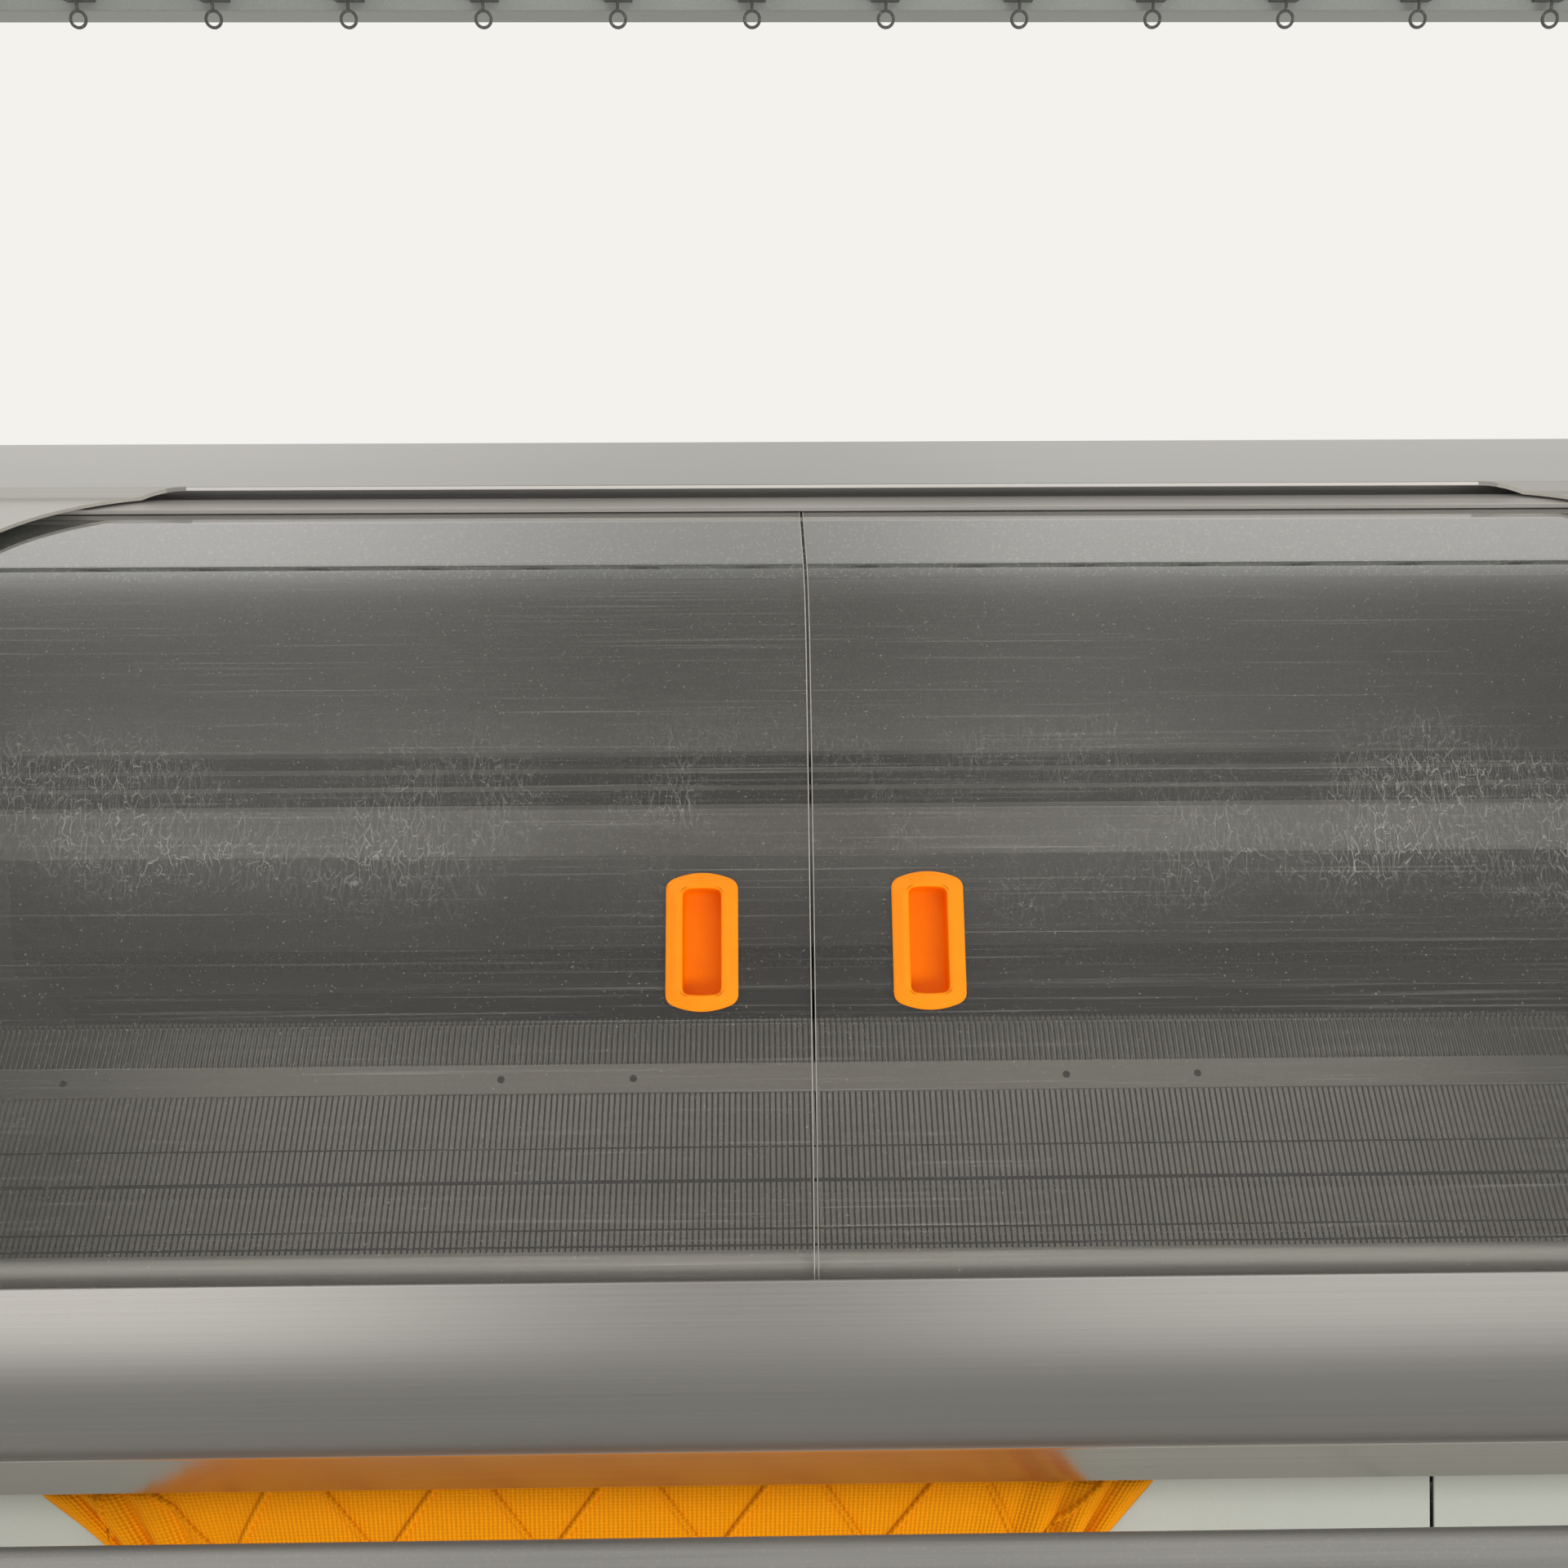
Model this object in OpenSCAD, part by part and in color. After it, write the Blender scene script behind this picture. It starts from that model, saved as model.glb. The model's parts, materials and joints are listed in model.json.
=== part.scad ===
// Computerised flat knitting machine with two needle beds in a V, a cam
// carriage over them and sliding clear covers. Millimetres, +Z up, X along
// the beds, the operator at -Y. The origin is under the middle, on the floor.

/* [Machine] */
// Length over the two end walls
machine_len = 2100; // [1900:10:2600]
// Height of the flat top deck
deck_z = 1358; // [1352:1:1380]
// Front edge of the top deck
deck_y = 20; // [20:1:24]
// Thickness of each end wall
wall_t = 8; // [5:1:12]
// Height of the lower edge of the outer panels
skirt_z = 100; // [80:5:160]
// Thickness of the folded sheet panels
sheet_t = 2; // [1.5:0.1:2.5]

/* [Needle beds] */
// Number of needles in each bed
needles = 308; // [200:1:320]
// Needles to the inch
gauge = 7; // [7:1:8]
// Slope of each bed from the level
bed_angle = 41; // [40:0.5:42]
// Height of the mouth between the beds
mouth_z = 1020; // [1016:1:1024]
// Y of the mouth's middle
mouth_y = -60; // [-62:1:-58]
// Width of the mouth between the beds
mouth_gap = 6; // [5:0.5:8]
// Length of the needle tricks down the slope
bed_len = 200; // [190:1:205]
// Thickness of a bed
bed_t = 24; // [20:1:26]
// Width of a needle trick
trick_w = 1.27; // [1.1:0.01:1.4]
// Depth of a needle trick
trick_depth = 4; // [3.5:0.1:5]
// Distance from the mouth to the needle retaining strip
strip_at = 28; // [24:1:32]
// Width of the needle retaining strip
strip_w = 19.5; // [12:0.5:24]
// Thickness of the needle retaining strip
strip_t = 1.5; // [1:0.1:2]

/* [Clear covers] */
// Y of the upper edge of the cover's outer face
run_y = 17; // [14:1:18]
// Height of the upper edge of the cover's outer face
run_z = 1345; // [1343:1:1346]
// Slope of the nearly level top of the cover
run_angle = 12; // [10:0.5:14]
// Length of the nearly level top of the cover
run_len = 104; // [96:1:112]
// Bending radius between top and front
bend_r = 105; // [95:1:115]
// Slope of the front of the cover where the bend ends
bend_angle = 56; // [55:0.5:57]
// Radius of the slight bow of the front
bow_r = 1800; // [1700:50:2000]
// Height of the cover's lower edge
foot_z = 986.5; // [986:0.5:989]
// Thickness of the clear sheet
cover_t = 3; // [2.5:0.1:3.4]
// X where the two covers meet
seam_x = -23; // [-60:1:60]
// Gap between the two covers
seam_gap = 1.5; // [1:0.1:3]
// How far each closed cover reaches under its hood
cover_lap = 50; // [30:1:80]
// Running clearance of the covers in their rails
slide_gap = 0.4; // [0.3:0.05:0.6]

/* [Hoods] */
// Half of the width of the opening between the hoods
opening_half = 512; // [480:1:560]
// Distance of the hood's outer face from the covers
hood_out = 7; // [7:0.5:10]
// Radius of the hood's rear inner corner, seen from above
hood_corner_r = 97; // [60:1:97]

/* [Cover pulls] */
// Distance of the left pull's middle from the seam
left_pull_at = 58; // [50:1:80]
// Distance of the right pull's middle from the seam
right_pull_at = 61; // [50:1:80]
// Height of the pulls' middle above the floor
pull_z = 1145; // [1110:1:1180]
// Height of a pull along the cover
pull_h = 73; // [66:1:80]
// Width of a pull
pull_w = 38; // [34:1:44]
// Height of the rim above the cover
pull_rim = 3.5; // [2:0.1:4]
// Depth of the finger recess behind the cover
pull_depth = 12; // [8:0.5:12]
// Wall of the pull's cup
pull_wall = 2; // [1.5:0.1:3]

/* [Front beam] */
// Radius of the beam's rounded face
beam_r = 75; // [70:1:75]
// Height of the beam's upper edge
beam_top_z = 994; // [992:0.5:995]
// How far the beam's upper edge stands in front of the covers
beam_lap = 2.2; // [2:0.1:4]
// Lean of the lip under the rounded face, inwards to its lower edge
lip_lean = 22.5; // [18:0.5:26]
// Height of the beam's underside behind the lip
under_z = 901; // [899:1:904]
// Wall of the beam
beam_wall = 5; // [3:0.5:6]
// Radius of the bead that the covers lean over
bead_r = 8; // [6:0.5:8]
// Height of the bead's middle above the covers' lower edge
bead_rise = 3.5; // [2:0.5:6]

/* [Operating bar] */
// Radius of the bar
bar_r = 14; // [10:0.5:16]
// Y of the bar's axis
bar_y = -396; // [-400:1:-385]
// Height of the bar's axis
bar_z = 895; // [890:1:900]
// Radius of the bracket eyes
eye_r = 18; // [17.5:0.5:20]

/* [Lower panels] */
// Y of the front panels' outer face
apron_y = -320; // [-324:1:-318]
// Height of the front panels' upper edge
apron_z = 885; // [880:1:888]
// Gap between the front panels and the beam's lip
lip_gap = 7; // [6:0.5:8]
// Lean of the front panels' upper part from upright
apron_lean = 16; // [12:0.5:18]
// Height where the front panels turn upright
knee_z = 645; // [600:5:700]
// Bending radius of the front panels' knee
knee_r = 90; // [40:5:120]
// Half width of the middle front panel
apron_half = 297; // [250:1:400]

/* [Carrier rails] */
// Height of the carrier rails' lower faces
rail_z = 1156; // [1152:1:1160]
// Height of a rail's section
rail_h = 29; // [24:1:29]
// Thickness of a rail
rail_w = 10; // [8:0.5:10]
// Distance between two rails
rail_pitch = 40; // [40:0.5:41]

/* [Belt drive] */
// Pitch of the belt's teeth
belt_pitch = 8; // [8:1:10]
// Width of the belt
belt_w = 25; // [20:1:25]
// Front edge of the belt
belt_y = 206; // [206:0.5:208]
// Height of the belt's upper face
belt_top_z = 954; // [953:0.5:955]
// Thickness of the belt's back
belt_back = 3; // [2.5:0.1:3]
// Height of the belt's teeth
belt_tooth = 5; // [4:0.1:5]
// Teeth on a pulley
pulley_teeth = 30; // [28:1:30]
// Distance of a pulley's axis from the end wall
pulley_in = 57; // [52:1:62]

/* [Take-down] */
// Radius of a take-down roller
roller_r = 30; // [25:1:31]
// Height of the rollers' axes
roller_z = 820; // [815:1:825]
// Thickness of the knitted panel
cloth_t = 2.4; // [1.5:0.1:3]
// X of the knitted panel's left edge
cloth_left = -421; // [-500:1:-200]
// X of the knitted panel's right edge
cloth_right = 155; // [100:1:500]
// Height of the knitted panel's hanging end
cloth_end_z = 560; // [300:5:800]

/* [Yarn stand] */
// Height of the yarn beam's lower face
yarn_z = 1695; // [1680:1:1720]
// Number of yarn tensioners
tensioners_n = 16; // [8:1:17]
// Distance between two tensioners
tensioner_pitch = 105; // [90:1:115]

/* [Hidden] */

$fn = 48;
half = machine_len / 2;
inner_half = half - wall_t;
back_y = eye_r - bar_y;
pulley_x = inner_half - pulley_in;
free = 0.3;
bore_gap = 0.05;
pitch = 25.4 / gauge;
bed_half = needles * pitch / 2 + 2;
deck_t = 3;
ped_inner = half - 220;
ped_front = -300;
ped_top = 860;
ped_bottom = 60;
fold = 18;
knee_y = apron_y - (apron_z - knee_z) * tan(apron_lean);
knee_c = [knee_y + knee_r, knee_z - knee_r * tan(apron_lean / 2)];
ped_toe = knee_y + sheet_t + fold;

// A point on an arc of radius r about c where the arc runs uphill at angle a
function on_arc(c, r, a) = [c[0] - r * sin(a), c[1] + r * cos(a)];
run_end = [run_y, run_z];
run_start = run_end - run_len * [cos(run_angle), sin(run_angle)];
bend_c = run_start + bend_r * [sin(run_angle), -cos(run_angle)];
bend_end = on_arc(bend_c, bend_r, bend_angle);
bow_c = bend_end + bow_r * [sin(bend_angle), -cos(bend_angle)];

// The slope of the bowed front at height z, on the face at distance d from the covers' outer face
function slope_at(z, d = 0) = acos((z - bow_c[1]) / (bow_r + d));

// The covers' section from height z to the upper edge, at distance d outside their outer face
function skin(z, d) = let (a0 = slope_at(z, d)) concat(
    [for (i = [0:8]) on_arc(bow_c, bow_r + d, a0 + (bend_angle - a0) * i / 8)],
    [for (i = [1:12]) on_arc(bend_c, bend_r + d, bend_angle + (run_angle - bend_angle) * i / 12)],
    [run_end + d * [-sin(run_angle), cos(run_angle)]]);
function reverse(v) = [for (i = [len(v) - 1:-1:0]) v[i]];

// A point in the covers' top run, s past its end and d outside its face
function run_pt(s, d) = run_end + s * [cos(run_angle), sin(run_angle)]
    + d * [-sin(run_angle), cos(run_angle)];

// A point of the front bed, s down the slope from the mouth and n above it
function bed_pt(s, n) = [mouth_y - mouth_gap / 2 - s * cos(bed_angle) - n * sin(bed_angle),
                         mouth_z - s * sin(bed_angle) + n * cos(bed_angle)];
function mirrored(p) = [2 * mouth_y - p[0], p[1]];
function mirror_all(v) = [for (p = v) mirrored(p)];

// A band of thickness t along a line of points
function side_of(p, i) = let (
    a = p[max(i - 1, 0)], b = p[i], c = p[min(i + 1, len(p) - 1)],
    u = i == 0 ? (c - b) / norm(c - b) : (b - a) / norm(b - a),
    v = i == len(p) - 1 ? u : (c - b) / norm(c - b),
    m = [-(u + v)[1], (u + v)[0]])
    m / (m * [-u[1], u[0]]);
function band(p, t) = concat(
    [for (i = [0:len(p) - 1]) p[i] + side_of(p, i) * t / 2],
    reverse([for (i = [0:len(p) - 1]) p[i] - side_of(p, i) * t / 2]));

module block(a, b) translate(a) cube(b - a);
// Extrudes a section drawn in Y and Z along X
module along_x(x0, x1) translate([x0, 0, 0]) rotate([90, 0, 90]) linear_extrude(x1 - x0) children();
// Extrudes an outline drawn in X and Z along Y
module along_y(y0, y1) translate([0, y1, 0]) rotate([90, 0, 0]) linear_extrude(y1 - y0) children();
module rod_x(x0, x1, y, z, r) translate([x0, y, z]) rotate([0, 90, 0]) cylinder(r = r, h = x1 - x0);
module rod_y(y0, y1, x, z, r) translate([x, y1, z]) rotate([90, 0, 0]) cylinder(r = r, h = y1 - y0);
module mirror_x(on) mirror([on ? 1 : 0, 0, 0]) children();
module to_rear() translate([0, 2 * mouth_y, 0]) mirror([0, 1, 0]) children();
module on_bed() translate([0, mouth_y - mouth_gap / 2, mouth_z]) rotate([bed_angle, 0, 0]) children();

// Pedestals and feet
// Each is a welded box with a solid head, and a window in the inner web
ped_wall = 6;
ped_head = 150;
window_r = 30;
function ped_section(d) = [[ped_toe + d, ped_bottom + d], [back_y - 20 - d, ped_bottom + d],
    [back_y - 20 - d, ped_top - d], [ped_front + d, ped_top - d], [ped_front + d, knee_z - d / 2],
    [ped_toe + d, knee_z - 60 - d / 2]];
module pedestal(right) mirror_x(!right) color("#6f7470") difference() {
    along_x(ped_inner, inner_half - ped_wall) polygon(ped_section(0));
    along_x(ped_inner + ped_wall, inner_half - 2 * ped_wall) intersection() {
        polygon(ped_section(ped_wall));
        translate([-half, 0]) square([2 * half, ped_top - ped_head]);
    }
    along_x(ped_inner - 1, ped_inner + ped_wall + 1) translate([(back_y + ped_toe) / 2, (ped_top - ped_head) / 2 + 30])
        rounded(back_y - ped_toe - 220, ped_top - ped_head - 160, window_r);
}
foot_x = [ped_inner + 40, inner_half - 46];
foot_y = [ped_toe + 60, back_y - 65];
module levelling_feet() color("#3a3c3e")
    for (sx = [-1, 1], x = foot_x, y = foot_y) translate([sx * x, y, 0]) {
        cylinder(r1 = 36, r2 = 30, h = 14);
        cylinder(r = 10, h = ped_bottom);
        translate([0, 0, ped_bottom - 22]) cylinder(r = 17, h = 14, $fn = 6);
    }

// Cast supports under the beds, with the mouth's drop between them
sup_face = bed_pt(bed_len, -bed_t)[0];
sup_inner = mouth_y - 90;
module support_section() polygon([
    bed_pt(30, -bed_t - bore_gap), bed_pt(bed_len, -bed_t - bore_gap), [sup_face, ped_top - 80],
    [sup_inner, ped_top - 80], [sup_inner, ped_top], [mouth_y - 34, ped_top + 60]]);
module bed_support_front() color("#4a4d4c") along_x(-ped_inner, ped_inner) support_section();
module bed_support_rear() color("#4a4d4c") to_rear() along_x(-ped_inner, ped_inner) support_section();

// Outer frame
land_y = on_arc(bow_c, bow_r, slope_at(foot_z))[0] - slide_gap;
beam_top_y = land_y - beam_lap;
beam_in = 35.8;
beam_c = [beam_top_y + beam_in, beam_top_z - sqrt(beam_r * beam_r - beam_in * beam_in)];
beam_a0 = atan2(beam_top_z - beam_c[1], beam_top_y - beam_c[0]);
beam_a1 = 183;
function beam_arc(r, a0, a1, n) =
    [for (i = [0:n]) beam_c + r * [cos(a0 + (a1 - a0) * i / n), sin(a0 + (a1 - a0) * i / n)]];
beam_back = land_y + 6.5;
shelf_z = foot_z - 10.5;
shelf_y = land_y + 26.5;
// The lip's upper edge, set in from the rounded face
lip_in = 2.4;
lip_drop = 5.6;
lip_top = beam_c + [lip_in - beam_r, -lip_drop];
// Y of the lip at height z, at depth d behind its outer face
function lip_face(z, d) = lip_top[0] + (lip_top[1] - z) * tan(lip_lean) + d / cos(lip_lean);
lip_z = apron_z + lip_gap;
lip_y = lip_face(lip_z, 0);
lip_back = lip_y + beam_wall;
// Air slots through an end wall, above one another
slot_h = 8;
slot_len = 180;
slot_pitch = 26;
module wall_slots() for (i = [0:6]) along_x(inner_half - 1, half + 1)
    translate([60, skirt_z + 110 + slot_pitch * i]) rounded(slot_len, slot_h, slot_h / 2 - 0.1, 16);
module end_wall(right) mirror_x(!right) color("#a9ada6") difference() {
    along_x(inner_half, half) polygon(concat(
        [[back_y, skirt_z]], apron_face(0), [[lip_y, lip_z]],
        reverse(beam_arc(beam_r, beam_a0, beam_a1, 16)),
        skin(beam_top_z + 5, hood_out),
        [[deck_y, deck_z], [back_y, deck_z]]));
    wall_slots();
}
top_y = [30, 90];
top_z = rail_foot_z() - 40;
function rail_foot_z() = run_z - 10;
module tube(x0, x1, y, z, t) difference() {
    block([x0, y[0], z[0]], [x1, y[1], z[1]]);
    block([x0 - 1, y[0] + t, z[0] + t], [x1 + 1, y[1] - t, z[1] - t]);
}
module frame_tubes() color("#5a5e5c") {
    tube(-inner_half, inner_half, top_y, [top_z, rail_foot_z()], 4);
    tube(-inner_half, inner_half, [back_y - 63, back_y - 3], [deck_z - deck_t - 40, deck_z - deck_t], 4);
    tube(-inner_half, inner_half, [knee_y + sheet_t, ped_toe], [skirt_z + 30, skirt_z + 60], 3);
    tube(-inner_half, inner_half, [lean_y(apron_z - 10, sheet_t) + bore_gap, ped_front],
         [apron_z - 40, apron_z - 10], 3);
}

// Folded front panels, which lean out down to a rounded knee and hang upright below it
// Y of the leaning part at height z, at depth d behind its outer face
function lean_y(z, d) = apron_y - (apron_z - z) * tan(apron_lean) + d / cos(apron_lean);
function knee_arc(d) = [for (i = [0:6]) let (a = 180 - apron_lean * i / 6)
    knee_c + (knee_r - d) * [cos(a), sin(a)]];
function apron_face(d) = concat([[knee_y + d, skirt_z + d]], knee_arc(d), [[lean_y(apron_z - d, d), apron_z - d]]);
module apron(x0, x1) color("#a5aaa0") along_x(x0, x1) polygon(concat(
    [[knee_y + fold, skirt_z]], apron_face(0), [[apron_y + fold, apron_z], [apron_y + fold, apron_z - sheet_t]],
    reverse(apron_face(sheet_t)), [[knee_y + fold, skirt_z + sheet_t]]));

// Front beam and the covers' rails
module front_beam() color("#b9bab6") along_x(-inner_half, inner_half) difference() {
    polygon(concat(beam_arc(beam_r, beam_a0, beam_a1, 24),
        [lip_top, [lip_y, lip_z], [lip_back, lip_z], [lip_back, under_z], [beam_back, under_z],
         [beam_back, shelf_z - 6], [shelf_y, shelf_z - 6], [shelf_y, shelf_z],
         [land_y, shelf_z], [land_y, beam_top_z]]));
    polygon(concat(beam_arc(beam_r - beam_wall, 130, 176, 16),
        [[lip_face(under_z + beam_wall, beam_wall), under_z + beam_wall],
         [beam_back - beam_wall, under_z + beam_wall], [beam_back - beam_wall, shelf_z - 6]]));
}
bead_z = foot_z + bead_rise;
bead_d = -cover_t - bead_r - 3.3;
bead = on_arc(bow_c, bow_r + bead_d, slope_at(bead_z, bead_d));
module cover_rail_lower() color("#c6c7c4") along_x(-inner_half, inner_half) {
    polygon([[land_y, shelf_z], [shelf_y, shelf_z], [shelf_y, foot_z - slide_gap], [land_y, foot_z - slide_gap]]);
    translate(bead) circle(r = bead_r);
}
module cover_rail_upper() color("#c6c7c4") along_x(-inner_half, inner_half) {
    polygon([run_pt(-14, slide_gap), run_pt(-14, slide_gap + 3), run_pt(6, slide_gap + 3),
        run_pt(6, -cover_t - slide_gap - 3), run_pt(-14, -cover_t - slide_gap - 3),
        run_pt(-14, -cover_t - slide_gap), run_pt(slide_gap, -cover_t - slide_gap),
        run_pt(slide_gap, slide_gap)]);
    polygon([run_pt(-4, -cover_t - slide_gap - 1.5), run_pt(6, -cover_t - slide_gap - 1.5),
        [top_y[1] - 30, rail_foot_z() + 3], [top_y[1] - 30, rail_foot_z()],
        [run_pt(-4, 0)[0], rail_foot_z()]]);
}

// Hoods, deck and rear
module hood(right) mirror_x(!right) color("#b4b6b1") intersection() {
    along_x(opening_half - hood_corner_r, inner_half) polygon(concat(
        skin(beam_top_z + 5, hood_out), [[deck_y, deck_z], [deck_y, deck_z - sheet_t - 0.6]],
        reverse(skin(beam_top_z + 5, hood_out - sheet_t))));
    translate([0, 0, lip_z]) linear_extrude(deck_z) union() {
        translate([opening_half, -half]) square([half - opening_half, half + deck_y]);
        difference() {
            translate([opening_half - hood_corner_r, deck_y - hood_corner_r])
                square([hood_corner_r + 1, hood_corner_r]);
            translate([opening_half - hood_corner_r, deck_y - hood_corner_r])
                circle(r = hood_corner_r);
        }
    }
}
module top_deck() color("#bfc0bb") {
    block([-inner_half, deck_y, deck_z - deck_t], [inner_half, back_y, deck_z]);
    block([-inner_half, top_y[1] - 28, rail_foot_z()], [inner_half, top_y[1] - 25, deck_z - deck_t]);
}
wall_y = 250;
module inner_wall() color("#2c2e30") difference() {
    block([-inner_half, wall_y, ped_top], [inner_half, wall_y + 3, deck_z - deck_t]);
    rod_y(wall_y - 1, wall_y + 4, pulley_x, pulley_z, shaft_r + 4);
}
module rear_panel() color("#a5aaa0") difference() {
    block([-inner_half, back_y - 3, skirt_z], [inner_half, back_y, deck_z - deck_t]);
    for (x = [-700, -400, 0, 400, 700], i = [0:9])
        block([x - 60, back_y - 4, 400 + i * 24], [x + 60, back_y + 1, 406 + i * 24]);
}

// Needle beds
// A milled bed, cut upright where it faces the mouth
module bed() difference() {
    on_bed() translate([0, 6, 0]) rotate([90, 0, 0]) linear_extrude(bed_len + 6) polygon(concat(
        [[-bed_half, -bed_t], [bed_half, -bed_t], [bed_half, 0]],
        [for (i = [needles - 1:-1:0]) let (x = (i - (needles - 1) / 2) * pitch)
            each [[x + trick_w / 2, 0], [x + trick_w / 2, -trick_depth],
                  [x - trick_w / 2, -trick_depth], [x - trick_w / 2, 0]]],
        [[-bed_half, 0]]));
    block([-bed_half - 1, mouth_y - mouth_gap / 2, mouth_z - 60], [bed_half + 1, mouth_y + 40, mouth_z + 20]);
}
module front_bed() color("#8a867c") bed();
module rear_bed() color("#8a867c") to_rear() bed();
module strip() on_bed()
    block([-bed_half, -strip_at - strip_w, 0], [bed_half, -strip_at, strip_t]);
module front_strip() color("#9c9a92") strip();
module rear_strip() color("#9c9a92") to_rear() strip();

// Carrier rails and carriers
rail_y = [for (i = [0:3]) mouth_y + (i - 1.5) * rail_pitch];
rail_end = inner_half - 22;
module carrier_rails() color("#b8bab8") for (y = rail_y)
    block([-rail_end, y - rail_w / 2, rail_z], [rail_end, y + rail_w / 2, rail_z + rail_h]);
module rail_brackets() color("#55595a") for (s = [0, 1]) mirror_x(s == 1) {
    block([rail_end, rail_y[0] - 15, rail_z - 16], [inner_half, rail_y[3] + 15, rail_z + rail_h + 10]);
}
carrier_park = inner_half - 422;
carrier_x = [for (k = [0:5]) (k % 2 == 0 ? -1 : 1) * (carrier_park + 45 * floor(k / 2))];
carrier_rail = [0, 1, 1, 2, 2, 3];
carrier_side = [1, -1, 1, -1, 1, -1];
tip_z = mouth_z + 8;
module carrier(k) {
    y0 = rail_y[carrier_rail[k]];
    s = carrier_side[k];
    near = rail_w / 2 + free;
    tip = mouth_y + (k - 2.5) * 3.4;
    bend = y0 + s * (near + 6);
    color("#c9b27a") translate([carrier_x[k], 0, 0]) {
        along_x(-18, 18) polygon([for (p = [[near, -free - 5], [near + 12, -free - 5],
            [near + 12, rail_h + free + 4], [near - 4.6, rail_h + free + 4], [near - 4.6, rail_h + free],
            [near, rail_h + free]]) [y0 + s * p[0], rail_z + p[1]]]);
        along_x(-4, 4) polygon(band([[bend, rail_z - free - 4], [bend, rail_z - 12],
            [tip, tip_z + 34], [tip, tip_z + 6]], 2.2));
        translate([0, tip, tip_z]) cylinder(r = 1.1, h = 12);
    }
}

// Cam carriage, parked under the left hood
carriage_half = 210;
park_x = carriage_half + 42 - inner_half;
hanger_half = carriage_half - 60;
bridge_plate = 20;
cam_n = [3, 60];
cam_s = [strip_at + 24, bed_len - 15];
module cam_section() along_x(-carriage_half, carriage_half) polygon([
    bed_pt(cam_s[0] + 20, cam_n[0]), bed_pt(cam_s[1], cam_n[0]), bed_pt(cam_s[1], cam_n[1]),
    bed_pt(cam_s[0], cam_n[1]), bed_pt(cam_s[0], cam_n[0] + 14)]);
// Step motors that shift the cams, in a row over each cam box
motor_pitch = 48;
module cam_motors() on_bed() for (i = [-2:2]) translate([i * motor_pitch, -cam_s[1] + 48, cam_n[1]]) {
    cylinder(r = 17, h = 26, $fn = 32);
    translate([-21, -21, 0]) cube([42, 42, 6]);
}
module cam_box_front() color("#6b6f72") translate([park_x, 0, 0]) {
    cam_section();
    cam_motors();
    along_x(-hanger_half, hanger_half) polygon([[guide_y[0] - 6, guide_z - 14], [guide_y[0] - free, guide_z - 14],
        [guide_y[0] - free, guide_z + free], [guide_y[1] + 8, guide_z + free],
        bed_pt(cam_s[1] - 8, 12), bed_pt(cam_s[1] - 8, 40), [guide_y[0] - 6, guide_z + 32]]);
}
module cam_box_rear() color("#6b6f72") translate([park_x, 0, 0]) {
    to_rear() cam_section();
    to_rear() cam_motors();
    along_x(-hanger_half, hanger_half) polygon([mirrored(bed_pt(cam_s[1] - 8, 14)), [plate_y - free, plate_z - 22],
        [plate_y + 10, plate_z - 22], [plate_y + 10, plate_z - 12 - free],
        [plate_y - free, plate_z - 12 - free], [plate_y - free, plate_z + free],
        [plate_y + 3, plate_z + free], [plate_y + 3, plate_z + 30],
        mirrored(bed_pt(cam_s[1] - 8, 50))]);
    block([-30, plate_y + 2, belt_top_z + free], [30, belt_y + belt_w, belt_top_z + 20]);
    block([-30, plate_y - 60, belt_top_z + free], [30, plate_y + 3, belt_top_z + 20]);
}
arch_d = -pull_depth - pull_wall - cover_t - 6;
arch_top = top_z - 10;
arch_n = cam_n[1] + 0.02;
module arch_section() polygon(concat(
    [bed_pt(cam_s[1] - 10, arch_n)],
    [for (p = skin(mouth_z + 60, arch_d)) if (p[1] < arch_top && p[0] < -100) p],
    [[-80, arch_top], [60, arch_top], mirrored([-270, 1160]), mirrored(bed_pt(cam_s[1] - 10, arch_n)),
     mirrored(bed_pt(cam_s[1] - 75, arch_n)), [rail_y[3] + 34, rail_z + rail_h + 20],
     [rail_y[0] - 34, rail_z + rail_h + 20], bed_pt(cam_s[1] - 75, arch_n)]));
module carriage_bridge() color("#7d8184") translate([park_x, 0, 0]) {
    for (x = [-hanger_half - bridge_plate, hanger_half]) along_x(x, x + bridge_plate) arch_section();
    block([-hanger_half - bridge_plate, rail_y[0], arch_top - 40],
          [hanger_half + bridge_plate, rail_y[3], arch_top - 20]);
}
guide_y = [-262, -242];
guide_z = 900;
module carriage_rail_front() color("#8d8f8e") along_x(-inner_half, inner_half) {
    polygon([[guide_y[0], guide_z], [guide_y[1], guide_z], [guide_y[1], ped_top], [guide_y[0], ped_top]]);
    polygon([[guide_y[0], ped_top + 8], [sup_face, ped_top + 8], [sup_face, ped_top], [guide_y[0], ped_top]]);
}
plate_y = belt_y - 4;
plate_z = belt_top_z - 26;
module carriage_rail_rear() color("#8b8377") along_x(45 - pulley_x, pulley_x - 45) {
    polygon([[plate_y, plate_z], [wall_y, plate_z], [wall_y, plate_z - 12], [plate_y, plate_z - 12]]);
    polygon([[wall_y - 12, plate_z], [wall_y, plate_z], [wall_y, ped_top], [wall_y - 12, ped_top]]);
}

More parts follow.
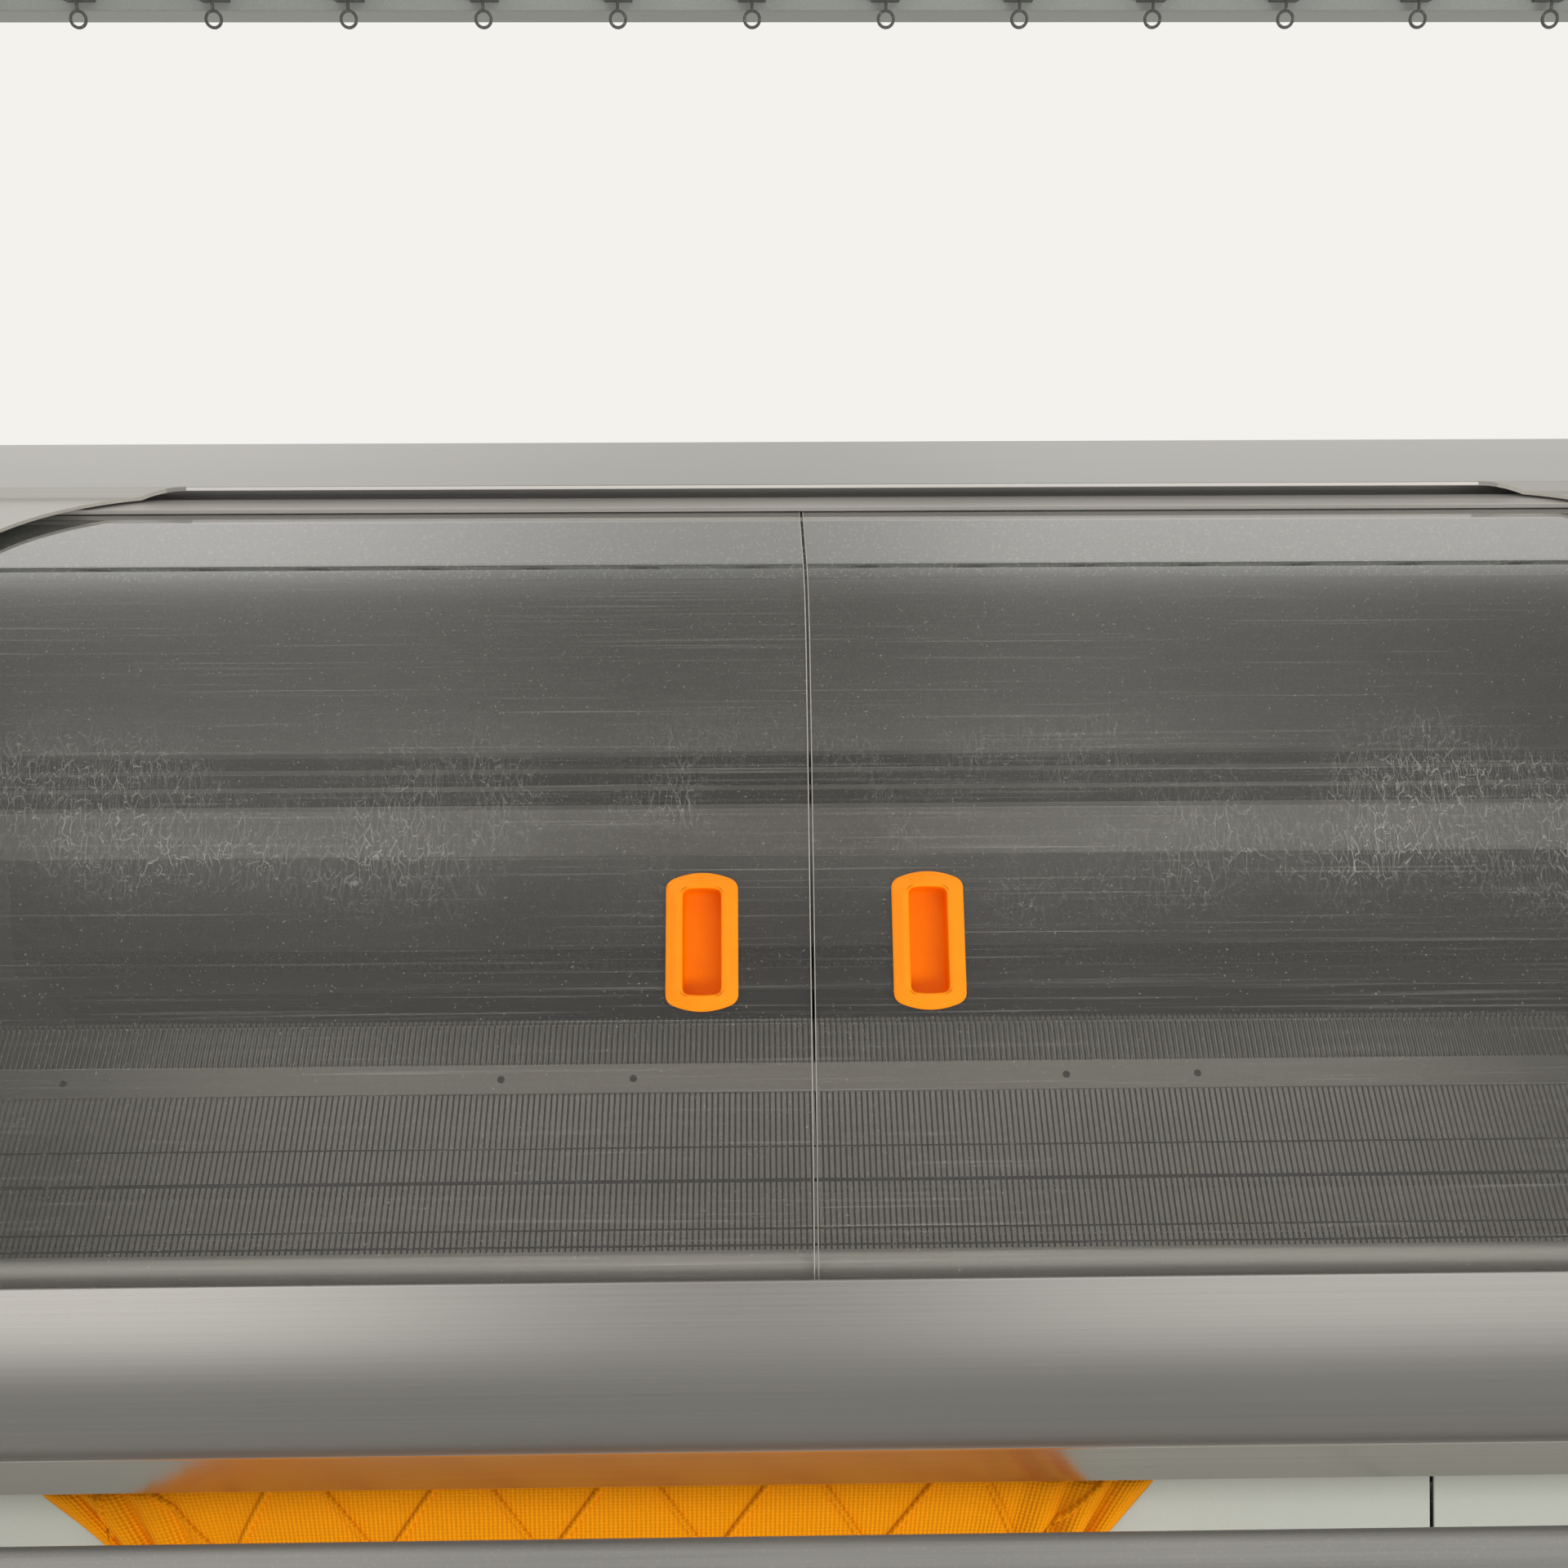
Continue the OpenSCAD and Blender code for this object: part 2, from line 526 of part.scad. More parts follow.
// Toothed belt, pulleys and motor
pulley_pitch_r = pulley_teeth * belt_pitch / (2 * PI);
belt_out = pulley_pitch_r + 1.8;
belt_in = belt_out - belt_back;
pulley_z = belt_top_z - belt_out;
shaft_r = 8;
belt_teeth = floor((2 * pulley_x - 40) / belt_pitch);
module belt() color("#1d1d1f") {
    along_y(belt_y, belt_y + belt_w) difference() {
        union() {
            for (s = [-1, 1]) translate([s * pulley_x, pulley_z]) circle(r = belt_out);
            translate([-pulley_x, pulley_z - belt_out]) square([2 * pulley_x, 2 * belt_out]);
        }
        for (s = [-1, 1]) translate([s * pulley_x, pulley_z]) circle(r = belt_in);
        polygon(concat([[-pulley_x, pulley_z - belt_in], [pulley_x, pulley_z - belt_in],
            [pulley_x, pulley_z + belt_in]],
            [for (i = [belt_teeth - 1:-1:0])
                let (x = (i - (belt_teeth - 1) / 2) * belt_pitch, w = belt_pitch / 4)
                each [[x + w + 0.7, pulley_z + belt_in], [x + w - 0.7, pulley_z + belt_in - belt_tooth],
                      [x - w + 0.7, pulley_z + belt_in - belt_tooth], [x - w - 0.7, pulley_z + belt_in]]],
            [[-pulley_x, pulley_z + belt_in]]));
    }
}
module toothed_wheel() rotate([90, 0, 0]) linear_extrude(belt_w) polygon([
    for (i = [0:pulley_teeth - 1], k = [0:3])
        let (a = (i + [0.05, 0.2, 0.55, 0.7][k]) * 360 / pulley_teeth,
             r = belt_in - free - (k == 0 || k == 3 ? belt_tooth : 0))
        r * [cos(a), sin(a)]]);
module pulley(x, bored, y1) color("#9a9da0") difference() {
    union() {
        translate([x, belt_y + belt_w, pulley_z]) toothed_wheel();
        for (y = [belt_y - 1.8, belt_y + belt_w + free])
            rod_y(y, y + 1.5, x, pulley_z, belt_out + 2);
        rod_y(belt_y - 1.8, y1, x, pulley_z, bored ? 16 : shaft_r);
    }
    if (bored) rod_y(belt_y - 5, y1 + 1, x, pulley_z, shaft_r + bore_gap);
}
module drive_pulley() pulley(pulley_x, false, wall_y + 40);
module idler_pulley() pulley(-pulley_x, true, belt_y + belt_w + 2);
module pulley_mounts() color("#55595a") {
    difference() {
        rod_y(wall_y - 14, wall_y, pulley_x, pulley_z, 24);
        rod_y(wall_y - 15, wall_y + 1, pulley_x, pulley_z, shaft_r + bore_gap);
    }
    block([-pulley_x - 30, wall_y - 10, pulley_z - 30], [-pulley_x + 30, wall_y, pulley_z + 30]);
    rod_y(belt_y - 4, wall_y, -pulley_x, pulley_z, shaft_r);
}
module servo_motor() color("#26282a") difference() {
    union() {
        block([pulley_x - 45, wall_y + 3, pulley_z - 45], [pulley_x + 45, wall_y + 15, pulley_z + 45]);
        rod_y(wall_y + 15, wall_y + 120, pulley_x, pulley_z, 42);
    }
    rod_y(wall_y, wall_y + 41, pulley_x, pulley_z, shaft_r + bore_gap);
}

// Take-down rollers
roller_off = roller_r + cloth_t / 2 + free;
roller_half = bed_half + 20;
roller_shaft = 9;
module roller(y, x1) color("#2f3133") {
    rod_x(-roller_half, roller_half, y, roller_z, roller_r);
    rod_x(-roller_half - 28, x1, y, roller_z, roller_shaft);
}
module roller_front() roller(mouth_y - roller_off, roller_half + 60);
module roller_rear() roller(mouth_y + roller_off, roller_half + 28);
module roller_bearings() color("#55595a") for (s = [0, 1]) mirror_x(s == 1) difference() {
    block([roller_half + 8, sup_inner, ped_top - 78], [roller_half + 20, mirrored([sup_inner, 0])[0], ped_top]);
    for (y = [-1, 1]) rod_x(roller_half, roller_half + 30, mouth_y + y * roller_off, roller_z, roller_shaft + bore_gap);
}
module takedown_motor() color("#26282a") difference() {
    rod_x(roller_half + 20, roller_half + 150, mouth_y - roller_off, roller_z, 30);
    rod_x(roller_half + 19, roller_half + 62, mouth_y - roller_off, roller_z, roller_shaft + bore_gap);
}

// Clear covers and their pulls
cover_out = opening_half + cover_lap;
left_pull_x = seam_x - left_pull_at;
right_pull_x = seam_x + right_pull_at;
pull_slope = slope_at(pull_z);
pull_seat = pull_h * pull_h / 8 / bow_r;
recess_w = pull_w - 18;
recess_h = pull_h - 17;
module at_pull(x) translate([x, on_arc(bow_c, bow_r, pull_slope)[0], pull_z]) rotate([pull_slope, 0, 0]) children();
module cover(x0, x1, pull_x) color([0.85, 0.88, 0.9, 0.35]) difference() {
    along_x(x0, x1) polygon(concat(skin(foot_z, 0), reverse(skin(foot_z + cover_t / 3, -cover_t))));
    at_pull(pull_x) cube([recess_w + 2 * pull_wall + 2 * free, recess_h + 2 * pull_wall + 2 * free, 30], center = true);
}
module cover_left() cover(-cover_out, seam_x - seam_gap / 2, left_pull_x);
module cover_right() cover(seam_x + seam_gap / 2, cover_out, right_pull_x);
module rounded(w, h, r, steps = 48) {
    square([w - 2 * r, h], center = true);
    square([w, h - 2 * r], center = true);
    for (x = [-1, 1], y = [-1, 1]) translate([x * (w / 2 - r), y * (h / 2 - r)]) circle(r = r, $fn = steps);
}
// Outline with straight sides and bowed ends, drawn in by e
bow_end = 5;
module pull_outline(e) {
    w = pull_w / 2 - e;
    end_r = (pull_w * pull_w / 4 + bow_end * bow_end) / (2 * bow_end);
    intersection() {
        square([2 * w, pull_h], center = true);
        translate([0, end_r - pull_h / 2]) circle(r = end_r - e);
        translate([0, pull_h / 2 - end_r]) circle(r = end_r - e);
    }
}
module pull(x) color("#ff8c00") at_pull(x) difference() {
    union() {
        translate([0, 0, pull_seat]) linear_extrude(pull_rim - 1.2) pull_outline(0);
        translate([0, 0, pull_seat]) linear_extrude(pull_rim - 0.5) pull_outline(0.6);
        translate([0, 0, pull_seat]) linear_extrude(pull_rim) pull_outline(1.6);
        translate([0, 0, -pull_depth - pull_wall]) linear_extrude(pull_depth + pull_wall + 1)
            rounded(recess_w + 2 * pull_wall, recess_h + 2 * pull_wall, 4);
    }
    translate([0, 0, -pull_depth]) linear_extrude(40) rounded(recess_w, recess_h, 3);
}
module pull_left() pull(left_pull_x);
module pull_right() pull(right_pull_x);

// Operating bar
module operating_bar() color("#9b9d9b") rod_x(-inner_half, inner_half, bar_y, bar_z, bar_r);
bracket_x = [inner_half - 342, inner_half - 42];
bracket_low = apron_z + 1;
module bar_brackets() color("#55595a") for (s = [-1, 1], x = bracket_x)
    translate([s * x, 0, 0]) difference() {
        along_x(-7, 7) union() {
            translate([bar_y, bar_z]) circle(r = eye_r);
            polygon([[bar_y, bar_z + eye_r - 8], [lip_y - 8, lip_z - free], [lip_back + free, lip_z - free],
                     [lip_back + free, under_z], [beam_back, under_z], [beam_back, bracket_low],
                     [lip_y, bracket_low], [bar_y, bar_z - eye_r + 4]]);
        }
        rod_x(-8, 8, bar_y, bar_z, bar_r + bore_gap);
    }

// Knitted panel, from the mouth through the rollers and over the front panel
cloth_off = cloth_t / 2 + free;
fold_z = apron_z + cloth_off;
fold_y = lean_y(fold_z - 1, -cloth_off);
inside_y = ped_front + 8;
cloth_path = concat([[mouth_y, mouth_z - 6], [mouth_y, roller_z - 60], [mouth_y - 50, roller_z - 90],
    [sup_face - 40, roller_z - 80], [inside_y, roller_z], [inside_y, fold_z - 6],
    [inside_y - 6, fold_z], [fold_y + 1, fold_z], [fold_y, fold_z - 1]],
    reverse(knee_arc(-cloth_off)), [[knee_y - cloth_off, cloth_end_z]]);
module knitted_panel() color("#f09b0a") intersection() {
    along_x(cloth_left, cloth_right) polygon(band(cloth_path, cloth_t));
    union() {
        block([cloth_left, apron_y, apron_z], [cloth_right, 0, mouth_z]);
        block([cloth_left, ped_front, skirt_z], [cloth_right, 0, mouth_z]);
        along_y(knee_y - 20, apron_y + 1) polygon([[cloth_left, fold_z + 5], [cloth_right, fold_z + 5],
            [cloth_right, apron_z], [cloth_right - 30, apron_z - 30], [cloth_right - 45, cloth_end_z],
            [cloth_left + 60, cloth_end_z], [cloth_left + 34, apron_z - 30], [cloth_left, apron_z]]);
    }
}

// Yarn stand
post_x = inner_half - 188;
yarn_y = [back_y - 54, back_y - 4];
yarn_h = 60;
module yarn_posts() color("#8f9290") for (s = [-1, 1])
    block([s * post_x - 20, back_y - 49, deck_z], [s * post_x + 20, back_y - 9, yarn_z]);
module yarn_beam() color("#8f9290")
    tube(-inner_half + 42, inner_half - 42, yarn_y, [yarn_z, yarn_z + yarn_h], 3);
module tensioners() for (i = [0:tensioners_n - 1])
    translate([(i - (tensioners_n - 1) / 2) * tensioner_pitch, yarn_y[0], yarn_z]) {
        color("#2d2f31") block([-11, -22, 6], [11, 0, yarn_h + 30]);
        color("#c9cac8") translate([0, -22, 62]) rotate([90, 0, 0]) cylinder(r = 13, h = 3);
        color("#c9cac8") translate([0, -25, 62]) rotate([90, 0, 0]) cylinder(r = 4, h = 8);
        color("#3c3e40") translate([0, -11, -8]) rotate([90, 0, 0]) rotate_extrude() translate([6, 0]) circle(r = 1.2);
        color("#3c3e40") translate([0, -11, -2.6]) cylinder(r = 1.2, h = 9);
    }

// Control panel on its post
panel_x = inner_half - 127;
panel_y = 170;
panel_z = [1500, 1690];
panel_r = 14;
module panel_post() color("#8f9290") {
    translate([panel_x, panel_y, deck_z]) cylinder(r = 34, h = 8);
    translate([panel_x, panel_y, deck_z]) cylinder(r = panel_r, h = panel_z[1] - 20 - deck_z);
    translate([panel_x, panel_y, deck_z]) cylinder(r = 24, h = panel_z[0] + 20 - deck_z);
}
module control_panel() color("#d4d5d1") difference() {
    union() {
        along_y(panel_y - 64, panel_y - 24.5) translate([panel_x, (panel_z[0] + panel_z[1]) / 2])
            rounded(240, panel_z[1] - panel_z[0], 12, 24);
        translate([panel_x, panel_y, panel_z[0] + 20 + free]) cylinder(r = 24, h = 110);
        block([panel_x - 20, panel_y - 30, panel_z[0] + 40], [panel_x + 20, panel_y - 18, panel_z[0] + 120]);
    }
    translate([panel_x, panel_y, panel_z[0]]) cylinder(r = panel_r + bore_gap, h = 200);
    block([panel_x - 100, panel_y - 65, panel_z[0] + 50], [panel_x + 60, panel_y - 61, panel_z[1] - 15]);
    rod_y(panel_y - 65, panel_y - 50, panel_x + 90, panel_z[0] + 50, 9 + bore_gap);
}
module emergency_stop() color("#c81e1e") {
    rod_y(panel_y - 78, panel_y - 55, panel_x + 90, panel_z[0] + 50, 9);
    rod_y(panel_y - 86, panel_y - 72, panel_x + 90, panel_z[0] + 50, 18);
}

pedestal(false);  // pedestal_left
pedestal(true);  // pedestal_right
levelling_feet();
bed_support_front();
bed_support_rear();
end_wall(false);  // end_wall_left
end_wall(true);  // end_wall_right
frame_tubes();
apron(-inner_half, -apron_half - 1);  // apron_left
apron(-apron_half + 1, apron_half - 1);  // apron_centre
apron(apron_half + 1, inner_half);  // apron_right
front_beam();
cover_rail_lower();
cover_rail_upper();
hood(false);  // hood_left
hood(true);  // hood_right
top_deck();
inner_wall();
rear_panel();
front_bed();
rear_bed();
front_strip();
rear_strip();
carrier_rails();
rail_brackets();
carriage_bridge();
cam_box_front();
cam_box_rear();
carriage_rail_front();
carriage_rail_rear();
belt();
drive_pulley();
idler_pulley();
pulley_mounts();
servo_motor();
roller_front();
roller_rear();
roller_bearings();
takedown_motor();
cover_left();
cover_right();
pull_left();
pull_right();
operating_bar();
bar_brackets();
knitted_panel();
yarn_posts();
yarn_beam();
tensioners();
panel_post();
control_panel();
emergency_stop();
for (k = [0:5]) carrier(k);
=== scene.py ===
import json
import math

import bmesh
import bpy
from mathutils import Matrix, Vector

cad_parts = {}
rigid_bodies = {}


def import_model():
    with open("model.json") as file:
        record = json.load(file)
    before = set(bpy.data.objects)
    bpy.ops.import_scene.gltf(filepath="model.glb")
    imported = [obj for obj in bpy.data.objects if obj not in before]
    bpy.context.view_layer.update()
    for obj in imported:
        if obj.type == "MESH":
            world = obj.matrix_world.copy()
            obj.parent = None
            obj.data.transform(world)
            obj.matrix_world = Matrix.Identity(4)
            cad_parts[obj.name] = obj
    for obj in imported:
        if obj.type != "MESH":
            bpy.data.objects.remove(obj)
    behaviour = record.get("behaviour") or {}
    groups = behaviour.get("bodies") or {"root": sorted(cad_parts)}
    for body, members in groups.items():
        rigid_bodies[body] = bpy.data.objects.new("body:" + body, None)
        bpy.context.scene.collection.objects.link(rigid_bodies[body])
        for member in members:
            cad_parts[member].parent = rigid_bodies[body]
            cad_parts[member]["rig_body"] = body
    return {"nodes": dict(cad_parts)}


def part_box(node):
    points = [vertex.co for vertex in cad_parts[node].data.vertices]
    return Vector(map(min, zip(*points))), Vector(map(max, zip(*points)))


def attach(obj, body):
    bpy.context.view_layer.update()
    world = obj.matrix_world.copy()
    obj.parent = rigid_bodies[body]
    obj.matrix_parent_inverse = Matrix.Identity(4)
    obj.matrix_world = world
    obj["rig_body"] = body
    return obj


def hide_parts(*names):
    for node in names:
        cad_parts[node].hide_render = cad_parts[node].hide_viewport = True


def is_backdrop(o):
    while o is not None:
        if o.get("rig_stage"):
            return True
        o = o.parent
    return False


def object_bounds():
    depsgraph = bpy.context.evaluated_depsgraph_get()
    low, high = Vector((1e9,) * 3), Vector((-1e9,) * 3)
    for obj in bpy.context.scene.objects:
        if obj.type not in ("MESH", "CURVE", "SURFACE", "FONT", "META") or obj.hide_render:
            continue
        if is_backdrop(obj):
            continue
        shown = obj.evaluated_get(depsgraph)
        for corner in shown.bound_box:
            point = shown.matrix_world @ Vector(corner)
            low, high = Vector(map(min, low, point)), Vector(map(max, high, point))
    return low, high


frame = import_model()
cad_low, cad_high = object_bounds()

# Camera
# It stands at a person's height in front of the machine and looks down on the covers, turned
# and rolled by less than a degree.
mm = 0.001
camera_at = Vector((-49, -1001, 1453.5)) * mm
tilt_down = math.radians(16.15)
turn_right = math.radians(0.84)
roll_left = math.radians(0.17)
scene = bpy.context.scene
lens = bpy.data.cameras.new("Camera")
lens.sensor_width = 36
lens.lens = 36.06
camera = bpy.data.objects.new("Camera", lens)
scene.collection.objects.link(camera)
camera.matrix_world = (
    Matrix.Translation(camera_at)
    @ Matrix.Rotation(-turn_right, 4, "Z")
    @ Matrix.Rotation(math.pi / 2 - tilt_down, 4, "X")
    @ Matrix.Rotation(-roll_left, 4, "Z")
)
scene.camera = camera
scene.view_settings.view_transform = "Standard"


# Studio
# A pale floor that runs out into a pale surround, a broad lamp above and behind the machine,
# as windows behind it would give, and a smaller one in front.
def add(tree, kind, inputs=None, **settings):
    """A new node with its settings, and its inputs set to values or linked to sockets."""
    node = tree.nodes.new(kind)
    for key, value in settings.items():
        setattr(node, key, value)
    for key, value in (inputs or {}).items():
        if isinstance(value, bpy.types.NodeSocket):
            tree.links.new(value, node.inputs[key])
        else:
            node.inputs[key].default_value = value
    return node


def calc(tree, value, other=0.0, operation="MULTIPLY"):
    """The result of one Math node, which for some operations takes the first value only."""
    return add(tree, "ShaderNodeMath", {0: value, 1: other}, operation=operation).outputs[0]


def mapped(tree, value, low, high, least=0.0, most=1.0, how="LINEAR"):
    """The value mapped from a range onto another, and kept within it."""
    given = {"Value": value, "From Min": low, "From Max": high, "To Min": least, "To Max": most}
    return add(tree, "ShaderNodeMapRange", given, interpolation_type=how).outputs[0]


def sockets(group, way, kinds):
    """Gives a node group its named inputs or outputs."""
    for name, kind in kinds.items():
        group.interface.new_socket(name, in_out=way, socket_type="NodeSocket" + kind)


def seen_directly(tree):
    """1 for camera, glossy and transmission rays, which show the surround itself."""
    path = add(tree, "ShaderNodeLightPath")
    either = calc(tree, path.outputs["Is Camera Ray"], path.outputs["Is Glossy Ray"], "MAXIMUM")
    return calc(tree, either, path.outputs["Is Transmission Ray"], "MAXIMUM")


pale = 0.90
warm_white = (1.0, 0.983, 0.945)


def surround_group():
    """What lies around in a direction: pale to the eye, and a hall with a dim front to mirrors."""
    group = bpy.data.node_groups.new("surround", "ShaderNodeTree")
    sockets(group, "INPUT", {"Direction": "Vector", "Mirrored": "Float"})
    sockets(group, "OUTPUT", {"Colour": "Color"})
    given = group.nodes.new("NodeGroupInput")
    to = add(group, "ShaderNodeVectorMath", {0: given.outputs[0]}, operation="NORMALIZE").outputs[0]
    x, y, z = add(group, "ShaderNodeSeparateXYZ", {0: to}).outputs

    def ramp(value, low, high, most):
        return mapped(group, value, low, high, most=most, how="SMOOTHSTEP")

    # Mirrored: bright ceiling at both sides, windows behind the machine, dim wall in front
    sides = calc(group, ramp(x, -0.03, -0.34, 0.60), ramp(x, 0.02, 0.20, 0.42), "ADD")
    ceiling = calc(group, sides, ramp(z, 0.15, 0.95, 1.0))
    beside_windows = calc(group, sides, ramp(y, 0.2, 0.9, 0.2))
    windows = calc(group, ramp(y, 0.0, 0.9, 0.40), beside_windows, "ADD")
    wall = calc(group, ramp(z, -0.9, 0.9, 0.12), 0.17, "ADD")
    mirrored = calc(group, calc(group, ceiling, windows, "ADD"), wall, "ADD")
    light = add(group, "ShaderNodeMix",
                {"Factor": given.outputs["Mirrored"], 2: pale, 3: mirrored}, data_type="FLOAT")
    tint = add(group, "ShaderNodeVectorMath", {0: warm_white, "Scale": light.outputs[0]},
               operation="SCALE")
    out = group.nodes.new("NodeGroupOutput")
    group.links.new(tint.outputs[0], out.inputs[0])
    return group


surround = surround_group()
world = bpy.data.worlds.new("Surround")
scene.world = world
world.use_nodes = True
tree = world.node_tree
tree.nodes.clear()
ray = add(tree, "ShaderNodeTexCoord")
around = add(tree, "ShaderNodeGroup", node_tree=surround)
tree.links.new(ray.outputs["Generated"], around.inputs["Direction"])
tree.links.new(add(tree, "ShaderNodeLightPath").outputs["Is Glossy Ray"], around.inputs["Mirrored"])
strength = mapped(tree, seen_directly(tree), 0, 1, least=0.95)
sky = add(tree, "ShaderNodeBackground", {"Color": around.outputs[0], "Strength": strength})
add(tree, "ShaderNodeOutputWorld", {"Surface": sky.outputs[0]})

floor_mesh = bpy.data.meshes.new("floor")
floor_half = 14.0
floor_corners = [(x * floor_half, y * floor_half, 0) for x, y in ((-1, -1), (1, -1), (1, 1), (-1, 1))]
floor_mesh.from_pydata(floor_corners, [], [(0, 1, 2, 3)])
floor = bpy.data.objects.new("floor", floor_mesh)
scene.collection.objects.link(floor)
floor_paint = bpy.data.materials.new("floor")
floor_paint.use_nodes = True
tree = floor_paint.node_tree
shader = tree.nodes["Principled BSDF"]
shader.inputs["Base Color"].default_value = (0.72, 0.71, 0.68, 1)
shader.inputs["Roughness"].default_value = 0.6
place = add(tree, "ShaderNodeTexCoord")
reach = add(tree, "ShaderNodeVectorMath", {0: place.outputs["Object"]}, operation="LENGTH")
# The floor fades into the surround, and nearer to the machine where a surface mirrors it
mirrored = add(tree, "ShaderNodeLightPath").outputs["Is Glossy Ray"]
near = mapped(tree, mirrored, 0, 1, 1.6, 0.6)
far = mapped(tree, mirrored, 0, 1, 4.5, 1.4)
fade = mapped(tree, reach.outputs["Value"], near, far, how="SMOOTHSTEP")
fade_seen = calc(tree, fade, seen_directly(tree))
around = add(tree, "ShaderNodeGroup", node_tree=surround)
tree.links.new(place.outputs["Object"], around.inputs["Direction"])
tree.links.new(mirrored, around.inputs["Mirrored"])
glow = add(tree, "ShaderNodeEmission", {"Color": around.outputs[0]})
mix = add(tree, "ShaderNodeMixShader", {0: fade_seen, 1: shader.outputs[0], 2: glow.outputs[0]})
tree.links.new(mix.outputs[0], tree.nodes["Material Output"].inputs["Surface"])
floor_mesh.materials.append(floor_paint)
floor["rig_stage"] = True


def lamp(name, at, target, size, power, colour):
    """A rectangular soft lamp at one point, turned to another."""
    data = bpy.data.lights.new(name, "AREA")
    data.shape = "RECTANGLE"
    data.size, data.size_y = size
    data.energy = power
    data.color = colour
    made = bpy.data.objects.new(name, data)
    scene.collection.objects.link(made)
    made.location = at
    made.rotation_euler = (Vector(target) - Vector(at)).to_track_quat("-Z", "Y").to_euler()
    made.visible_glossy = False


lamp("rear lamp", at=(-1.2, 2.4, 3.6), target=(0, 0, 1.0), size=(3.4, 1.6), power=50,
     colour=(1.0, 0.98, 0.95))
lamp("front lamp", at=(1.4, -3.1, 1.0), target=(0, -0.3, 0.85), size=(2.6, 0.9), power=50,
     colour=(1.0, 0.99, 0.97))


# Cast and welded base
# Two pedestals stand on levelling feet and carry the cast bed supports and the tubes of the
# frame. Castings are sprayed with a coarse dark enamel, the feet are black rubber and steel.
def grain_group():
    """Fine and broad variation over a surface, drawn out by a stretch for each direction."""
    group = bpy.data.node_groups.new("grain", "ShaderNodeTree")
    sockets(group, "INPUT", {"Stretch": "Vector", "Broad size": "Float"})
    sockets(group, "OUTPUT", {"Fine": "Float", "Broad": "Float", "Specks": "Float"})
    given = group.nodes.new("NodeGroupInput")
    at = add(group, "ShaderNodeTexCoord").outputs["Object"]
    drawn = add(group, "ShaderNodeVectorMath", {0: at, 1: given.outputs["Stretch"]},
                operation="MULTIPLY")
    fine = add(group, "ShaderNodeTexNoise",
               {"Vector": drawn.outputs[0], "Scale": 1.0, "Detail": 3.0})
    broad = add(group, "ShaderNodeTexNoise",
                {"Vector": at, "Scale": given.outputs["Broad size"], "Detail": 2.0})
    dots_a_metre = 620.0
    dots = add(group, "ShaderNodeTexNoise", {"Vector": at, "Scale": dots_a_metre, "Detail": 0.0})
    specks = mapped(group, dots.outputs[0], 0.66, 0.72)
    add(group, "NodeGroupOutput",
        {"Fine": fine.outputs[0], "Broad": broad.outputs[0], "Specks": specks})
    return group


grain = grain_group()


def finish(name, colour, worn, metallic=0.0, roughness=(0.4, 0.55), stretch=(300, 300, 300),
           broad=5.0, relief=0, wear=0.5, specks=0, coat=0.0):
    """A finish between two colours and two roughnesses along its grain, with relief in mm."""
    made = bpy.data.materials.new(name)
    made.use_nodes = True
    tree = made.node_tree
    shader = tree.nodes["Principled BSDF"]
    shader.inputs["Metallic"].default_value = metallic
    shader.inputs["Coat Weight"].default_value = coat
    over = add(tree, "ShaderNodeGroup", node_tree=grain)
    over.inputs["Stretch"].default_value = stretch
    over.inputs["Broad size"].default_value = broad
    both = add(tree, "ShaderNodeMix",
               {"Factor": wear, 2: over.outputs["Fine"], 3: over.outputs["Broad"]}, data_type="FLOAT")
    shade = mapped(tree, both.outputs[0], 0.3, 0.7)
    tint = add(tree, "ShaderNodeMix", {"Factor": shade, 6: colour + (1,), 7: worn + (1,)},
               data_type="RGBA")
    last = tint.outputs[2]
    if specks:
        dust = calc(tree, over.outputs["Specks"], specks)
        lint = (0.55, 0.53, 0.48, 1)
        last = add(tree, "ShaderNodeMix", {"Factor": dust, 6: last, 7: lint},
                   data_type="RGBA").outputs[2]
    tree.links.new(last, shader.inputs["Base Color"])
    tree.links.new(mapped(tree, shade, 0, 1, *roughness), shader.inputs["Roughness"])
    if relief:
        bump = add(tree, "ShaderNodeBump",
                   {"Height": over.outputs["Fine"], "Distance": relief * mm, "Strength": 1.0})
        tree.links.new(bump.outputs[0], shader.inputs["Normal"])
    return made


def smooth(piece, angle=28):
    """Shades the piece smooth, with edges over the angle kept sharp."""
    data = piece.data
    data.polygons.foreach_set("use_smooth", [True] * len(data.polygons))
    data.set_sharp_from_angle(angle=math.radians(angle))


def baked(piece):
    """The piece with its modifiers made into its mesh, as a plain object at the origin."""
    bpy.context.view_layer.update()
    data = bpy.data.meshes.new_from_object(piece.evaluated_get(bpy.context.evaluated_depsgraph_get()))
    piece.modifiers.clear()
    piece.data = data
    return piece


def new_piece(name, data):
    """A mesh as an object in the scene."""
    piece = bpy.data.objects.new(name, data)
    scene.collection.objects.link(piece)
    return piece


def closed_piece(name, points, faces, material, weld=0):
    """A piece from points and faces, welded over a distance in mm, with its normals outward."""
    data = bpy.data.meshes.new(name)
    data.from_pydata(points, [], faces)
    work = bmesh.new()
    work.from_mesh(data)
    if weld:
        bmesh.ops.remove_doubles(work, verts=work.verts, dist=weld * mm)
    bmesh.ops.recalc_face_normals(work, faces=work.faces)
    work.to_mesh(data)
    work.free()
    data.materials.append(material)
    return new_piece(name, data)


def broken_edges(piece, width, steps=2, angle=28):
    """Rounds every edge sharper than the angle."""
    bevel = piece.modifiers.new("edges", "BEVEL")
    bevel.width = width * mm
    bevel.segments = steps
    bevel.limit_method = "ANGLE"
    bevel.angle_limit = math.radians(angle)
    bevel.use_clamp_overlap = True
    return baked(piece)


